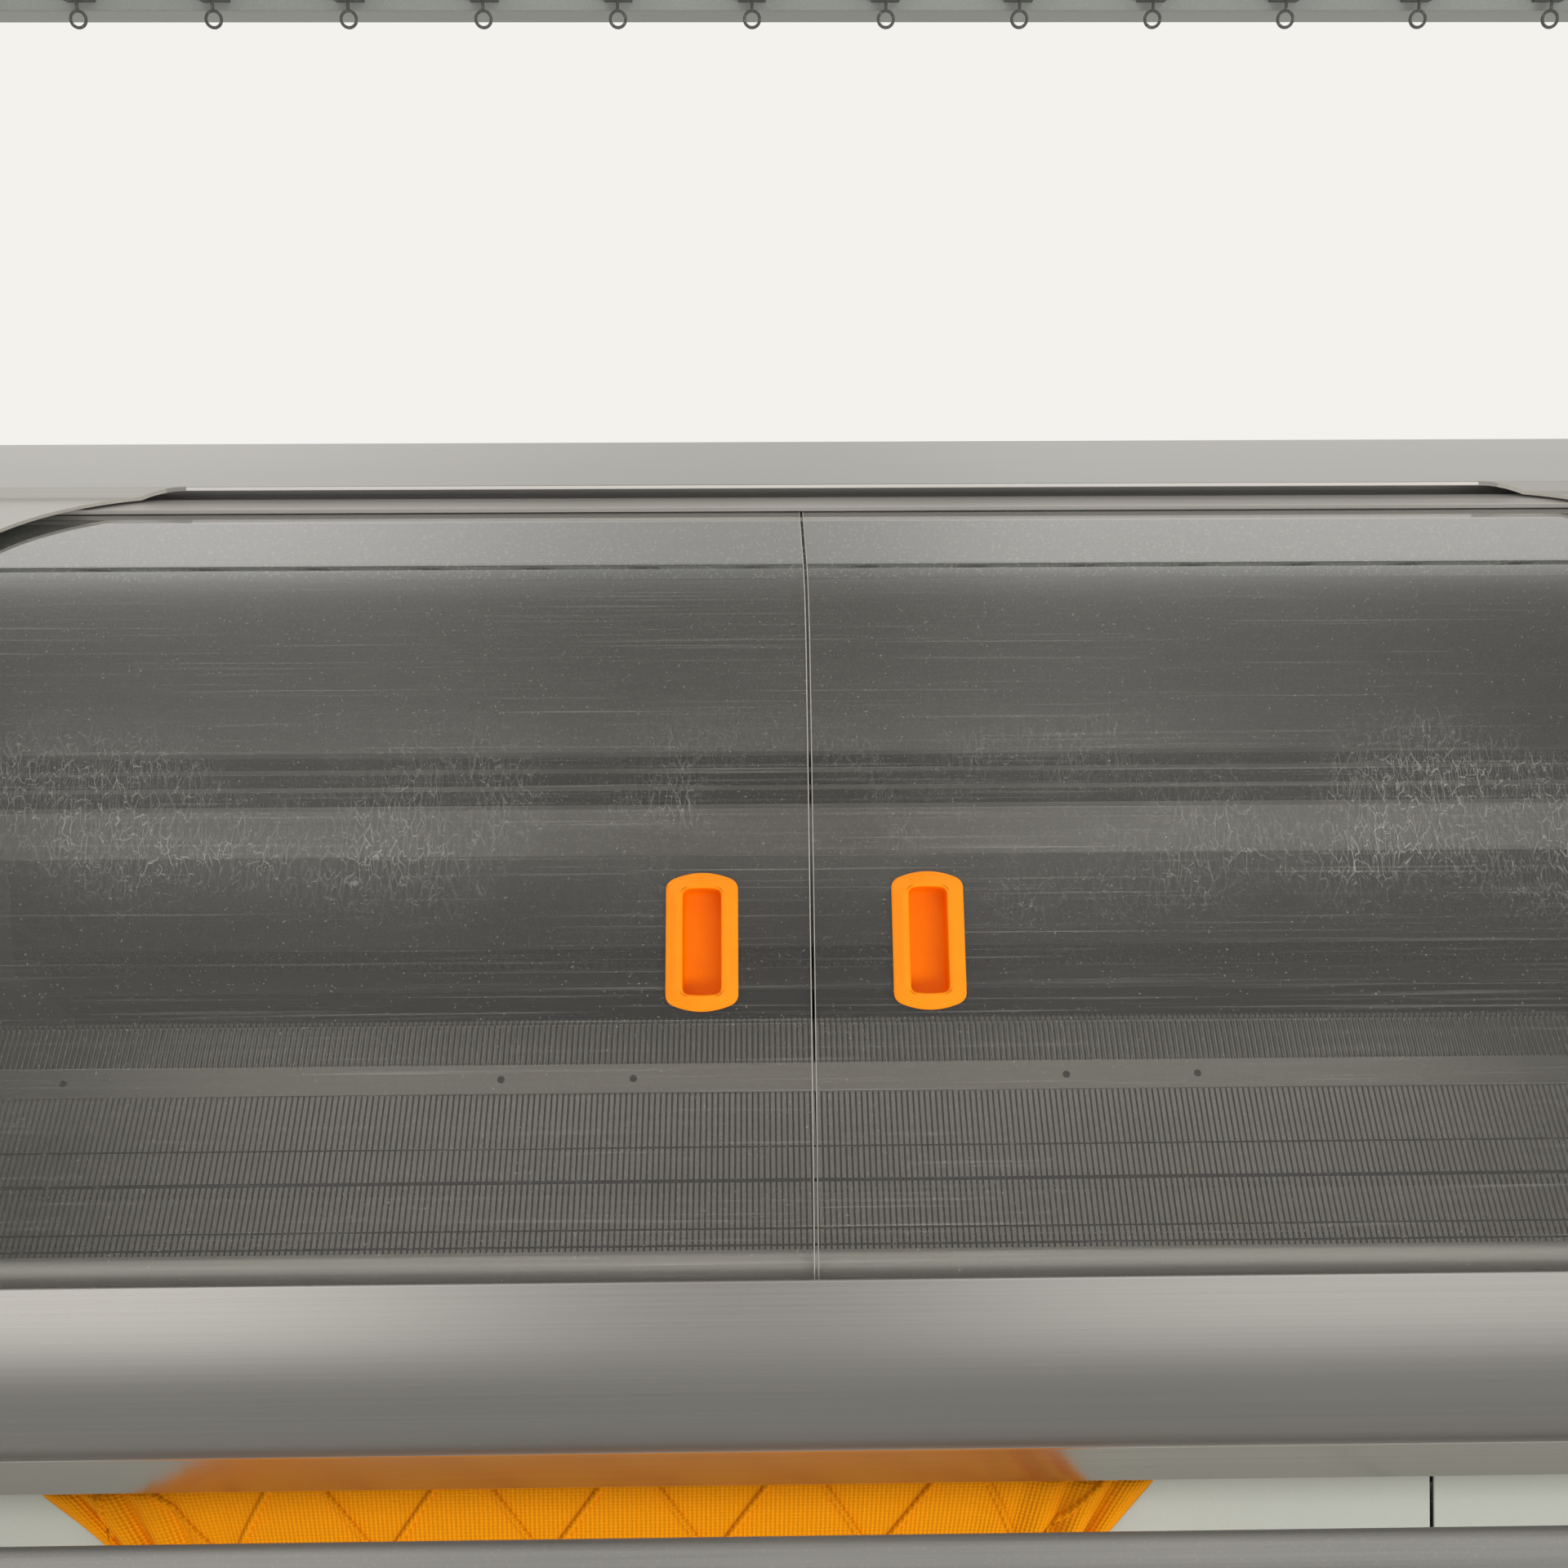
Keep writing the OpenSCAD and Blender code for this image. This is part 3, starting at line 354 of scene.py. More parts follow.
def dressed(node, material, edge=0.8, steps=2):
    """The node's own shape as one closed mesh with its edges rounded, standing for the node."""
    cad = frame["nodes"][node]
    data = cad.data.copy()
    work = bmesh.new()
    work.from_mesh(data)
    bmesh.ops.remove_doubles(work, verts=work.verts, dist=0.004 * mm)
    bmesh.ops.dissolve_limit(work, angle_limit=math.radians(0.1), verts=work.verts, edges=work.edges)
    work.to_mesh(data)
    work.free()
    data.materials.clear()
    data.materials.append(material)
    piece = new_piece(node + "_finished", data)
    if edge:
        broken_edges(piece, edge, steps)
    smooth(piece)
    flats = piece.modifiers.new("flat faces", "WEIGHTED_NORMAL")
    flats.keep_sharp = True
    baked(piece)
    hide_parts(node)
    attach(piece, cad["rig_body"])
    return piece


casting = finish(
    "casting enamel", (0.065, 0.072, 0.072), (0.10, 0.108, 0.105), roughness=(0.45, 0.62),
    stretch=(420, 420, 420), relief=0.25, specks=0.3)
for node in ("pedestal_left", "pedestal_right", "bed_support_front", "bed_support_rear", "frame_tubes"):
    dressed(node, casting, edge=2.0)
foot_rubber = finish(
    "foot rubber", (0.018, 0.019, 0.020), (0.035, 0.036, 0.037), roughness=(0.6, 0.8),
    stretch=(500, 500, 500), relief=0.08, specks=0.4)
dressed("levelling_feet", foot_rubber, edge=0.8)


# Sheet casing
# End walls and panels are folded steel sheet with a fine sprayed enamel in a light grey green.
# The lower panels hang on the frame tubes and are held by socket screws.
enamel = finish(
    "grey green enamel", (0.445, 0.460, 0.415), (0.49, 0.505, 0.46), roughness=(0.36, 0.46),
    stretch=(700, 700, 700), relief=0.03, wear=0.8, specks=0.12, coat=0.15)
for node in ("apron_left", "apron_centre", "apron_right", "rear_panel"):
    dressed(node, enamel, edge=0.7)
for node in ("end_wall_left", "end_wall_right"):
    dressed(node, enamel, edge=1.6, steps=3)
inner_enamel = finish(
    "inner grey enamel", (0.185, 0.178, 0.170), (0.245, 0.234, 0.222), roughness=(0.4, 0.6),
    stretch=(30, 500, 500), relief=0.05, specks=0.3)
dressed("inner_wall", inner_enamel, edge=0.4)


def prism(name, outline, low, high, place, material):
    """A closed outline drawn in two directions and extruded along the third."""
    count = len(outline)
    points = [place(u, v, w) for w in (low, high) for u, v in outline]
    faces = [tuple(range(count)), tuple(range(count, 2 * count))]
    faces += [(i, (i + 1) % count, count + (i + 1) % count, count + i) for i in range(count)]
    return closed_piece(name, points, faces, material)


def lathe(name, profile, steps, material, axis="Z"):
    """A closed profile of radius and height, turned about Z or Y."""
    placed = Matrix.Rotation(math.pi / 2, 4, "X") if axis == "Y" else Matrix.Identity(4)
    points, faces = [], []
    for i in range(steps):
        a = 2 * math.pi * i / steps
        points += [placed @ (Vector((r * math.cos(a), r * math.sin(a), z)) * mm) for r, z in profile]
    count = len(profile)
    for i in range(steps):
        for k in range(count - 1):
            p, q = i * count + k, (i + 1) % steps * count + k
            faces.append((p, q, q + 1, p + 1))
    return closed_piece(name, points, faces, material, weld=0.001)


def copies_tree():
    """Geometry nodes that put copies of a shape on the points of the modified mesh."""
    tree = bpy.data.node_groups.new("copies on points", "GeometryNodeTree")
    sockets(tree, "INPUT", {"Points": "Geometry", "Shape": "Object", "Turn": "Vector",
                            "Loose": "Vector", "Material": "Material"})
    sockets(tree, "OUTPUT", {"Copies": "Geometry"})
    given = tree.nodes.new("NodeGroupInput")
    minus = add(tree, "ShaderNodeVectorMath", {0: given.outputs["Loose"], 1: (-1, -1, -1)},
                operation="MULTIPLY")
    chance = add(tree, "FunctionNodeRandomValue",
                 {0: minus.outputs[0], 1: given.outputs["Loose"], "Seed": 7},
                 data_type="FLOAT_VECTOR")
    moved = add(tree, "GeometryNodeSetPosition",
                {"Geometry": given.outputs["Points"], "Offset": chance.outputs[0]})
    shape = add(tree, "GeometryNodeObjectInfo", {"Object": given.outputs["Shape"]})
    put = add(tree, "GeometryNodeInstanceOnPoints",
              {"Points": moved.outputs[0], "Instance": shape.outputs["Geometry"],
               "Rotation": given.outputs["Turn"]})
    real = add(tree, "GeometryNodeRealizeInstances", {0: put.outputs[0]})
    dressed_up = add(tree, "GeometryNodeSetMaterial",
                     {0: real.outputs[0], "Material": given.outputs["Material"]})
    out = tree.nodes.new("NodeGroupOutput")
    tree.links.new(dressed_up.outputs[0], out.inputs["Copies"])
    return tree


copies = copies_tree()


def copied(name, shape, points, material, body, turn=(0, 0, 0), loose=(0, 0, 0)):
    """Copies of the shape on the points, as one piece on a body. The shape itself is removed."""
    data = bpy.data.meshes.new(name)
    data.from_pydata(points, [], [])
    piece = new_piece(name, data)
    modifier = piece.modifiers.new("copies", "NODES")
    modifier.node_group = copies
    inputs = {s.name: s.identifier for s in copies.interface.items_tree if s.in_out == "INPUT"}
    for key, value in {"Shape": shape, "Turn": turn, "Loose": loose, "Material": material}.items():
        modifier[inputs[key]] = value
    baked(piece)
    bpy.data.objects.remove(shape)
    smooth(piece)
    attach(piece, body)
    return piece


screw_steel = finish(
    "screw steel", (0.30, 0.29, 0.27), (0.16, 0.15, 0.14), metallic=0.9, roughness=(0.3, 0.5),
    stretch=(900, 900, 900))


def screw_head(radius, height):
    """A socket screw's head, rounded at its rim, with the round of its key hole sunk in it."""
    key = radius * 0.48
    profile = [(0, -0.4), (radius, -0.4), (radius, height * 0.7), (radius * 0.86, height),
               (key, height), (key * 0.96, height * 0.35), (0, height * 0.3)]
    return lathe("screw", profile, 14, screw_steel)


wall_screws = [Vector((0, y, z)) * mm for y in (-290, -150, 0, 150, 290, 385) for z in (130, 480)]
wall_screws += [Vector((0, 385, z)) * mm for z in (660, 840, 1040, 1240)]
quarter_turn = math.pi / 2
for label, side in (("left", -1), ("right", 1)):
    wall_side = Vector((side * cad_high.x, 0, 0))
    copied(f"wall_screws_{label}", screw_head(5.5, 3.2), [p + wall_side for p in wall_screws],
           screw_steel, "machine", turn=(0, side * quarter_turn, 0))
apron_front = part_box("apron_centre")[0].y
apron_screws = [Vector((x * mm, apron_front, z * mm))
                for x in (-1020, -660, -330, -264, 0, 264, 330, 660, 1020) for z in (124, 500)]
copied("apron_screws", screw_head(5.0, 2.6), apron_screws, screw_steel, "machine",
       turn=(quarter_turn, 0, 0))
rear_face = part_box("rear_panel")[1].y
rear_screws = [Vector((x * mm, rear_face, z * mm))
               for x in (-1020, -510, 0, 510, 1020) for z in (124, 740, 1330)]
copied("rear_screws", screw_head(5.0, 2.6), rear_screws, screw_steel, "machine",
       turn=(-quarter_turn, 0, 0))


# Needle beds
# Each bed is a ground steel plate milled with one trick for every needle. The needles are
# stamped from strip and lie in the tricks under a screwed retaining strip, and the thin
# sinkers stand between them along the mouth.
bed_slope = math.radians(41)
mouth_y = -60
mouth_z = 1020
mouth_half_gap = 3
needle_pitch = 25.4 / 7
needle_count = 308
first_needle = -(needle_count - 1) / 2 * needle_pitch
# Oiled ground steel, with lines along the slope and soft stains
bed_steel = finish(
    "bed steel", (0.33, 0.31, 0.282), (0.41, 0.39, 0.355), metallic=0.3, roughness=(0.42, 0.58),
    stretch=(700, 60, 60), broad=9.0, wear=0.55, specks=0.35)
for node in ("front_bed", "rear_bed"):
    dressed(node, bed_steel, edge=0)
strip_steel = finish(
    "strip steel", (0.33, 0.31, 0.28), (0.40, 0.38, 0.345), metallic=0.45, roughness=(0.35, 0.5),
    stretch=(12, 500, 500), specks=0.25)
for node in ("front_strip", "rear_strip"):
    dressed(node, strip_steel, edge=0.3)


def on_bed(rear):
    """The place of a point at x, s down the slope from the mouth and n above the bed."""
    def place(s, n, x):
        y = -mouth_half_gap - s * math.cos(bed_slope) - n * math.sin(bed_slope)
        z = mouth_z - s * math.sin(bed_slope) + n * math.cos(bed_slope)
        return Vector((x, mouth_y - y if rear else mouth_y + y, z)) * mm
    return place


# Needles and the bed wires are near black, painted shade for the tricks and grooves they lie in
needle_painted_shade_steel = finish(
    "needle steel painted shade", (0.018, 0.017, 0.016), (0.045, 0.043, 0.040), metallic=0.3,
    roughness=(0.35, 0.5), stretch=(900, 90, 90))
sinker_steel = finish(
    "sinker steel", (0.30, 0.285, 0.26), (0.42, 0.40, 0.37), metallic=0.85, roughness=(0.3, 0.42),
    stretch=(900, 90, 90))
black_oxide = finish(
    "black oxide", (0.012, 0.012, 0.012), (0.026, 0.025, 0.024), roughness=(0.42, 0.55))
# Needle outline: the bent hook at the mouth, the latch cheeks, the stem and two low butts
needle_side = [(1.0, -2.6), (0.2, -1.9), (0.3, -1.0), (1.6, -0.7), (2.4, -1.3), (7.0, -1.8),
               (24.0, -1.8), (50.0, -2.4), (55.0, -2.0), (108.0, -2.0), (108.6, 0.7), (111.4, 0.7),
               (112.0, -2.0), (138.0, -2.0), (138.6, 0.5), (140.4, 0.5), (141.0, -2.0),
               (196.0, -2.0), (196.0, -3.8), (2.0, -3.8)]
# Sinker outline: a low blade with a rounded nose over the mouth
sinker_side = [(1.5, 0.0), (1.0, 0.9), (1.7, 1.9), (3.4, 2.4), (24.0, 2.2), (26.5, 1.2), (27.0, 0.0)]
needle_half, sinker_half = 0.5, 0.45
needle_play = 0.35
wires = ((82.6, 1.0), (103.5, 2.2), (133.9, 1.0), (143.8, 1.2))
strip_middle, strip_top = 38, 1.5
for label, rear, body in (("front", False, "machine"), ("rear", True, "rear_bed")):
    place = on_bed(rear)
    back = 1 if rear else -1
    steps = [Vector(((first_needle + i * needle_pitch) * mm, 0, 0)) for i in range(needle_count)]
    needle = prism("needle", needle_side, -needle_half, needle_half, place, needle_painted_shade_steel)
    along = Vector((0, back * math.cos(bed_slope), -math.sin(bed_slope))) * needle_play * mm
    copied(f"{label}_needles", needle, steps, needle_painted_shade_steel, body, loose=along)
    sinker = prism("sinker", sinker_side, -sinker_half, sinker_half, place, sinker_steel)
    between = [p + Vector((needle_pitch / 2 * mm, 0, 0)) for p in steps[:-1]]
    copied(f"{label}_sinkers", sinker, between, sinker_steel, body)
    # Wires pressed across the ribs, which keep the needle parts in their tricks, in the near-black
    # painted shade of the needles
    bed_half = needle_count * needle_pitch / 2 + 1.5
    for k, (s, width) in enumerate(wires):
        wire_side = [(s, -0.1), (s, 0.12), (s + width / 2, 0.2), (s + width, 0.12), (s + width, -0.1)]
        wire = prism(f"{label}_bed_wire_{k + 1}", wire_side, -bed_half, bed_half, place, needle_painted_shade_steel)
        smooth(wire, 60)
        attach(wire, body)
    # Two screws to each 360 mm length of the strip
    screw_x = [first + 360 * k for first in (-216, -132) for k in (-1, 0, 1, 2)]
    screws_at = [place(strip_middle, strip_top, x) for x in screw_x if abs(x) < bed_half]
    copied(f"{label}_strip_screws", screw_head(2.3, 0.7), screws_at, black_oxide,
           body, turn=(-back * bed_slope, 0, 0))


# Belt drive
# A rubber toothed belt runs behind the rear bed between two steel pulleys. The servo motor
# turns the right one through the inner wall.
belt_rubber = finish(
    "belt rubber", (0.012, 0.012, 0.013), (0.028, 0.028, 0.028), roughness=(0.55, 0.75),
    stretch=(60, 600, 600), relief=0.04, specks=0.25)
dressed("belt", belt_rubber, edge=0)
turned_steel = finish(
    "turned steel", (0.30, 0.30, 0.295), (0.42, 0.415, 0.40), metallic=0.9, roughness=(0.26, 0.4),
    stretch=(300, 900, 300))
for node in ("drive_pulley", "idler_pulley", "pulley_mounts"):
    dressed(node, turned_steel, edge=0.4)
motor_paint = finish(
    "motor enamel", (0.018, 0.019, 0.02), (0.03, 0.031, 0.032), roughness=(0.35, 0.5),
    stretch=(500, 500, 500), relief=0.06, specks=0.2)
for node in ("servo_motor", "takedown_motor"):
    dressed(node, motor_paint, edge=1.2)


# Take-down
# Two steel rollers with a fluted rubber cover draw the knitted panel down from the beds. They
# turn in plates that are cast and sprayed, as the brackets of the rails and the bar are.
roller_rubber = finish(
    "roller rubber", (0.022, 0.022, 0.023), (0.045, 0.045, 0.046), roughness=(0.55, 0.7),
    stretch=(40, 700, 700), relief=0.3)
for node in ("roller_front", "roller_rear"):
    dressed(node, roller_rubber, edge=0.6)
dark_enamel = finish(
    "dark enamel", (0.075, 0.08, 0.08), (0.105, 0.11, 0.108), roughness=(0.4, 0.55),
    stretch=(500, 500, 500), relief=0.06, specks=0.2)
for node in ("roller_bearings", "rail_brackets", "bar_brackets"):
    dressed(node, dark_enamel, edge=1.0)


# Carriage and its rails
# The cam boxes are machined aluminium blocks that ride over both beds, joined by a bridge of
# welded plate. Each hangs on a ground steel rail in front of and behind the beds.
rail_steel = finish(
    "ground rail steel", (0.27, 0.225, 0.19), (0.35, 0.30, 0.26), metallic=0.2,
    roughness=(0.34, 0.5), stretch=(6, 400, 400), specks=0.3)
polished_track = finish(
    "polished track", (0.36, 0.34, 0.31), (0.46, 0.435, 0.40), metallic=0.5, roughness=(0.25, 0.36),
    stretch=(6, 400, 400))


def faces_given(piece, index, material, chosen):
    """Gives the piece a further material on the faces that the test picks."""
    piece.data.materials.append(material)
    for face in piece.data.polygons:
        if chosen(face):
            face.material_index = index


for node in ("carriage_rail_front", "carriage_rail_rear"):
    rail = dressed(node, rail_steel, edge=0.6)
    faces_given(rail, 1, black_oxide, lambda face: face.normal.y < -0.9)
# The polished track that the carriage's rollers leave on top of the rear rail
rail_low, rail_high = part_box("carriage_rail_rear")
rail_front, rail_end, rail_top = rail_low.y / mm, rail_high.x / mm, 928
track_side = [(rail_front + y, rail_top + z) for y, z in
              ((0.6, -0.4), (0.6, 0.1), (1.0, 0.3), (6.0, 0.3), (6.4, 0.1), (6.4, -0.4))]
track = prism("rear_rail_track", track_side, -rail_end, rail_end,
              lambda y, z, x: Vector((x, y, z)) * mm, polished_track)
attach(track, "machine")
carriage_metal = finish(
    "machined aluminium", (0.30, 0.31, 0.32), (0.38, 0.385, 0.39), metallic=0.8,
    roughness=(0.3, 0.45), stretch=(20, 400, 400))
for node in ("carriage_bridge", "cam_box_front", "cam_box_rear"):
    dressed(node, carriage_metal, edge=1.5)


# Carrier rails and yarn carriers
# Four drawn aluminium rails span the machine above the mouth. The carriers are pressed brass
# fingers on sliding shoes, each on one face of a rail.
rail_aluminium = finish(
    "drawn rail aluminium", (0.20, 0.192, 0.18), (0.28, 0.27, 0.255), metallic=0.5,
    roughness=(0.3, 0.42), stretch=(3, 500, 500), relief=0.03, specks=0.2)
rails = dressed("carrier_rails", rail_aluminium, edge=0.8)
# A darker copy of the rail finish, painted shade for the rear rails
rear_rails_painted_shade = finish(
    "rear rail painted shade", (0.050, 0.048, 0.045), (0.085, 0.080, 0.075), metallic=0.4,
    roughness=(0.34, 0.46), stretch=(3, 500, 500), relief=0.03, specks=0.2)
# Upright faces of the three rear rails take a darker copy of the rail finish, as painted shade deep
# behind the front rail
rear_rails_y = -100 * mm
faces_given(rails, 1, rear_rails_painted_shade,
            lambda face: face.center.y > rear_rails_y and abs(face.normal.z) < 0.9)
carrier_brass = finish(
    "carrier brass", (0.55, 0.43, 0.22), (0.63, 0.50, 0.28), metallic=0.9, roughness=(0.28, 0.4),
    stretch=(200, 200, 60))
for k in range(1, 7):
    dressed(f"yarn_carrier_{k}", carrier_brass, edge=0.5)


# Hoods and top deck
# Both hoods are rolled from thin aluminium sheet, cut round at their inner rear corners. The
# deck is a broad anodised aluminium plate that lies on the rear tubes.
hood_metal = finish(
    "satin hood aluminium", (0.50, 0.49, 0.465), (0.58, 0.57, 0.545), metallic=0.7,
    roughness=(0.27, 0.36), stretch=(4, 700, 700), specks=0.1)
trimmed_edge = finish(
    "trimmed hood edge", (0.42, 0.40, 0.36), (0.54, 0.52, 0.47), metallic=0.3,
    roughness=(0.35, 0.5), stretch=(500, 500, 500))
for node in ("hood_left", "hood_right"):
    hood = dressed(node, hood_metal, edge=0.35)
    faces_given(hood, 1, trimmed_edge, lambda face: abs(face.normal.x) > 0.15)
deck_metal = finish(
    "anodised deck aluminium", (0.385, 0.375, 0.35), (0.45, 0.44, 0.415), metallic=0.65,
    roughness=(0.26, 0.35), stretch=(2.5, 600, 600), specks=0.1)
deck = dressed("top_deck", deck_metal, edge=1.0, steps=3)
# The deck's front faces get a pale colour without metal, painted light for the light line along its edge
deck_front_painted_light = finish(
    "deck front painted light", (0.62, 0.60, 0.57), (0.68, 0.66, 0.63), roughness=(0.4, 0.5),
    stretch=(4, 900, 900))
faces_given(deck, 1, deck_front_painted_light, lambda face: face.normal.y < -0.85)


# Front beam and cover rails
# One large rounded aluminium extrusion closes the front, with a bead and a ledge behind it
# that the covers lean over. The upper rail is a smaller extrusion under the deck's edge.
beam_metal = finish(
    "brushed beam aluminium", (0.58, 0.565, 0.54), (0.66, 0.645, 0.62), metallic=0.95,
    roughness=(0.22, 0.27), stretch=(2, 900, 900), broad=2.0, specks=0.1)
beam = dressed("front_beam", beam_metal, edge=0.8)
lip_metal_painted_shade = finish(
    "polished lip aluminium painted shade", (0.37, 0.355, 0.335), (0.44, 0.425, 0.40), metallic=0.95,
    roughness=(0.12, 0.18), stretch=(2, 900, 900), broad=2.0, specks=0.1)
# The lip is the flat face under the round, which leans forward and down. Its metal is smoother, and
# painted darker than the beam as painted shade on the underside
faces_given(beam, 1, lip_metal_painted_shade,
            lambda face: face.normal.y < -0.8 and -0.5 < face.normal.z < -0.2)
rail_metal = finish(
    "rail extrusion", (0.50, 0.48, 0.455), (0.60, 0.58, 0.55), metallic=0.45,
    roughness=(0.32, 0.42), stretch=(2, 900, 900))
for node in ("cover_rail_lower", "cover_rail_upper"):
    dressed(node, rail_metal, edge=0.5)


# Clear covers
# Each cover is one bent sheet of clear acrylic, 3 mm thick, scratched along its length by the
# hoods. It slides sideways between the two cover rails. Its cut edges are polished.
def clear_sheet_material():
    """Clear sheet that mirrors by its angle, with rubbed lines, scuffs, crazing and dust."""
    made = bpy.data.materials.new("clear acrylic")
    made.use_nodes = True
    tree = made.node_tree
    shader = tree.nodes["Principled BSDF"]
    shader.inputs["Base Color"].default_value = (0.62, 0.61, 0.58, 1)
    shader.inputs["Roughness"].default_value = 0.55
    at = add(tree, "ShaderNodeTexCoord").outputs["Object"]

    def noise(scale, detail, vector=at):
        return add(tree, "ShaderNodeTexNoise", {"Vector": vector, "Scale": scale, "Detail": detail})

    # Fine lines that the hoods rub along the sheet
    drawn = add(tree, "ShaderNodeVectorMath", {0: at, 1: (5, 800, 800)}, operation="MULTIPLY")
    lines = mapped(tree, noise(1.0, 4.0, drawn.outputs[0]).outputs[0], 0.60, 0.80, most=0.17)
    # Crazing in patches, mostly in a band about the bend
    patches = mapped(tree, noise(7.0, 3.0).outputs[0], 0.45, 0.75)
    short = add(tree, "ShaderNodeVectorMath", {0: at, 1: (330, 90, 90)}, operation="MULTIPLY")
    bent = add(tree, "ShaderNodeVectorMath", {0: short.outputs[0], 1: noise(60.0, 2.0).outputs[1]},
               operation="ADD")
    cracks = add(tree, "ShaderNodeTexVoronoi", {"Vector": bent.outputs[0], "Scale": 1.0},
                 feature="DISTANCE_TO_EDGE")
    crack_mask = mapped(tree, cracks.outputs[0], 0.03, 0.0, most=0.72)
    height = add(tree, "ShaderNodeSeparateXYZ", {0: at}).outputs[2]
    band_z, band_half, band_fade = 1203 * mm, 20 * mm, 55 * mm
    away = calc(tree, calc(tree, height, band_z, "SUBTRACT"), operation="ABSOLUTE")
    band = mapped(tree, away, band_fade, band_half, least=0.05)
    crazing = calc(tree, calc(tree, crack_mask, patches), band)
    # Specks of dust, and a thin veil over all
    dust = mapped(tree, noise(900.0, 1.0).outputs[0], 0.71, 0.77, most=0.3)
    veil = 0.032
    marks = calc(tree, calc(tree, lines, crazing, "ADD"), dust, "ADD")
    worn = calc(tree, marks, veil, "ADD")
    # The outer face mirrors for both faces, and the inner one only lets light through
    mirror = add(tree, "ShaderNodeBsdfGlossy", {"Color": (1, 1, 1, 1), "Roughness": 0.05})
    clear = add(tree, "ShaderNodeBsdfTransparent", {"Color": (0.90, 0.90, 0.89, 1)})
    angle = add(tree, "ShaderNodeFresnel", {"IOR": 1.49})
    both_faces = mapped(tree, angle.outputs[0], 0.04, 0.30, least=0.055, most=0.62)
    inner = add(tree, "ShaderNodeNewGeometry").outputs["Backfacing"]
    bright = calc(tree, both_faces, calc(tree, 1.0, inner, "SUBTRACT"))
    sheet = add(tree, "ShaderNodeMixShader", {0: bright, 1: clear.outputs[0], 2: mirror.outputs[0]})
    seen = add(tree, "ShaderNodeMixShader", {0: worn, 1: sheet.outputs[0], 2: shader.outputs[0]})
    # Lamps pass it by a plain tint, which is as light and much quicker
    passed = add(tree, "ShaderNodeBsdfTransparent", {"Color": (0.87, 0.87, 0.86, 1)})
    to_lamp = add(tree, "ShaderNodeLightPath").outputs["Is Shadow Ray"]
    all_rays = add(tree, "ShaderNodeMixShader", {0: to_lamp, 1: seen.outputs[0], 2: passed.outputs[0]})
    tree.links.new(all_rays.outputs[0], tree.nodes["Material Output"].inputs["Surface"])
    return made


clear_acrylic = clear_sheet_material()
cut_edge = finish(
    "cut acrylic edge", (0.36, 0.35, 0.32), (0.52, 0.51, 0.47), roughness=(0.2, 0.3),
    stretch=(200, 300, 300))
for node in ("cover_left", "cover_right"):
    cover = dressed(node, clear_acrylic, edge=0.5, steps=2)
    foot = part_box(node)[0].z + 3 * mm
    # The cut edges are both ends, the upper edge and the foot
    faces_given(cover, 1, cut_edge, lambda face: abs(face.normal.x) > 0.3 or face.normal.y > 0.95
                or (face.center.z < foot and face.normal.z < -0.6))


# Cover pulls
# Each pull is one glossy orange moulding pressed into a slot of its cover: a bowed frame with
# a rounded rim around a deep finger recess.
orange = finish(
    "orange moulding", (0.97, 0.265, 0.001), (1.0, 0.295, 0.002), roughness=(0.28, 0.36),
    stretch=(120, 120, 120), broad=30.0)
# The finger recess gets a darker orange than the frame, as painted shade inside the recess; its rougher,
# duller surface is the moulding's own
recess_painted_shade_orange = finish(
    "orange recess painted shade", (0.90, 0.205, 0.0), (0.94, 0.225, 0.001), roughness=(0.45, 0.55),
    stretch=(120, 120, 120), broad=30.0)
for moulded, level in ((orange, 0.3), (recess_painted_shade_orange, 0.12)):
    moulded.node_tree.nodes["Principled BSDF"].inputs["Specular IOR Level"].default_value = level
pull_wide, pull_high = 19.0, 36.5


def pull_outline(w, h, corner, bow):
    """A frame's outline: straight sides, rounded corners and ends that bow out."""
    quarter = [(w, (h - bow - corner) * k / 4) for k in range(5)]
    start, bend = quarter[-1], (w, h - bow)
    end = (w - corner, h - bow * ((w - corner) / w) ** 2)
    for t in (k / 6 for k in range(1, 7)):
        shares = ((1 - t) ** 2, 2 * t * (1 - t), t * t)
        quarter.append(tuple(sum(s * c for s, c in zip(shares, axis)) for axis in zip(start, bend, end)))
    for k in range(1, 7):
        x = (w - corner) * (1 - k / 6)
        quarter.append((x, h - bow * (x / w) ** 2))
    top = quarter + [(-x, y) for x, y in reversed(quarter[:-1])]
    return top + [(-x, -y) for x, y in top[1:-1]]


def cup(out, z):
    """One ring of the recess's wall, moved out by some mm."""
    return (10 + out, 28 + out, 3.2, 0.8, z)


def rim(inward, z):
    """One ring of the rim, moved inward by some mm."""
    return (pull_wide - inward, pull_high - inward, 4.0, 5.0, z)


# Rings from the back of the cup, round the rim that lies on the cover, and down into the recess
seat = 0.3
pull_rings = [
    (0.5, 18, 0.2, 0.1, -14), cup(0.6, -14), cup(1.6, -13.4), cup(2, -12.4), cup(2, seat),
    rim(0.8, seat), rim(0.1, seat + 0.1), rim(0, seat + 0.5), rim(0.3, seat + 0.9),
    rim(1.0, seat + 1.3), rim(5.4, seat + 2.9), rim(5.7, seat + 3.0), rim(6.2, seat + 3.0),
    cup(1.2, seat + 3.0), cup(0.7, seat + 2.9), cup(0.2, seat + 2.5), cup(0, seat + 1.9),
    cup(-0.05, seat + 1.0), cup(-0.1, -6), cup(-0.3, -9.8), cup(-0.9, -11.2), cup(-2.2, -12),
    (0.5, 18, 0.2, 0.1, -12)]
rings_in_recess = 7
pull_slope = math.radians(61.02)
pull_y, pull_z = -232.27, 1145
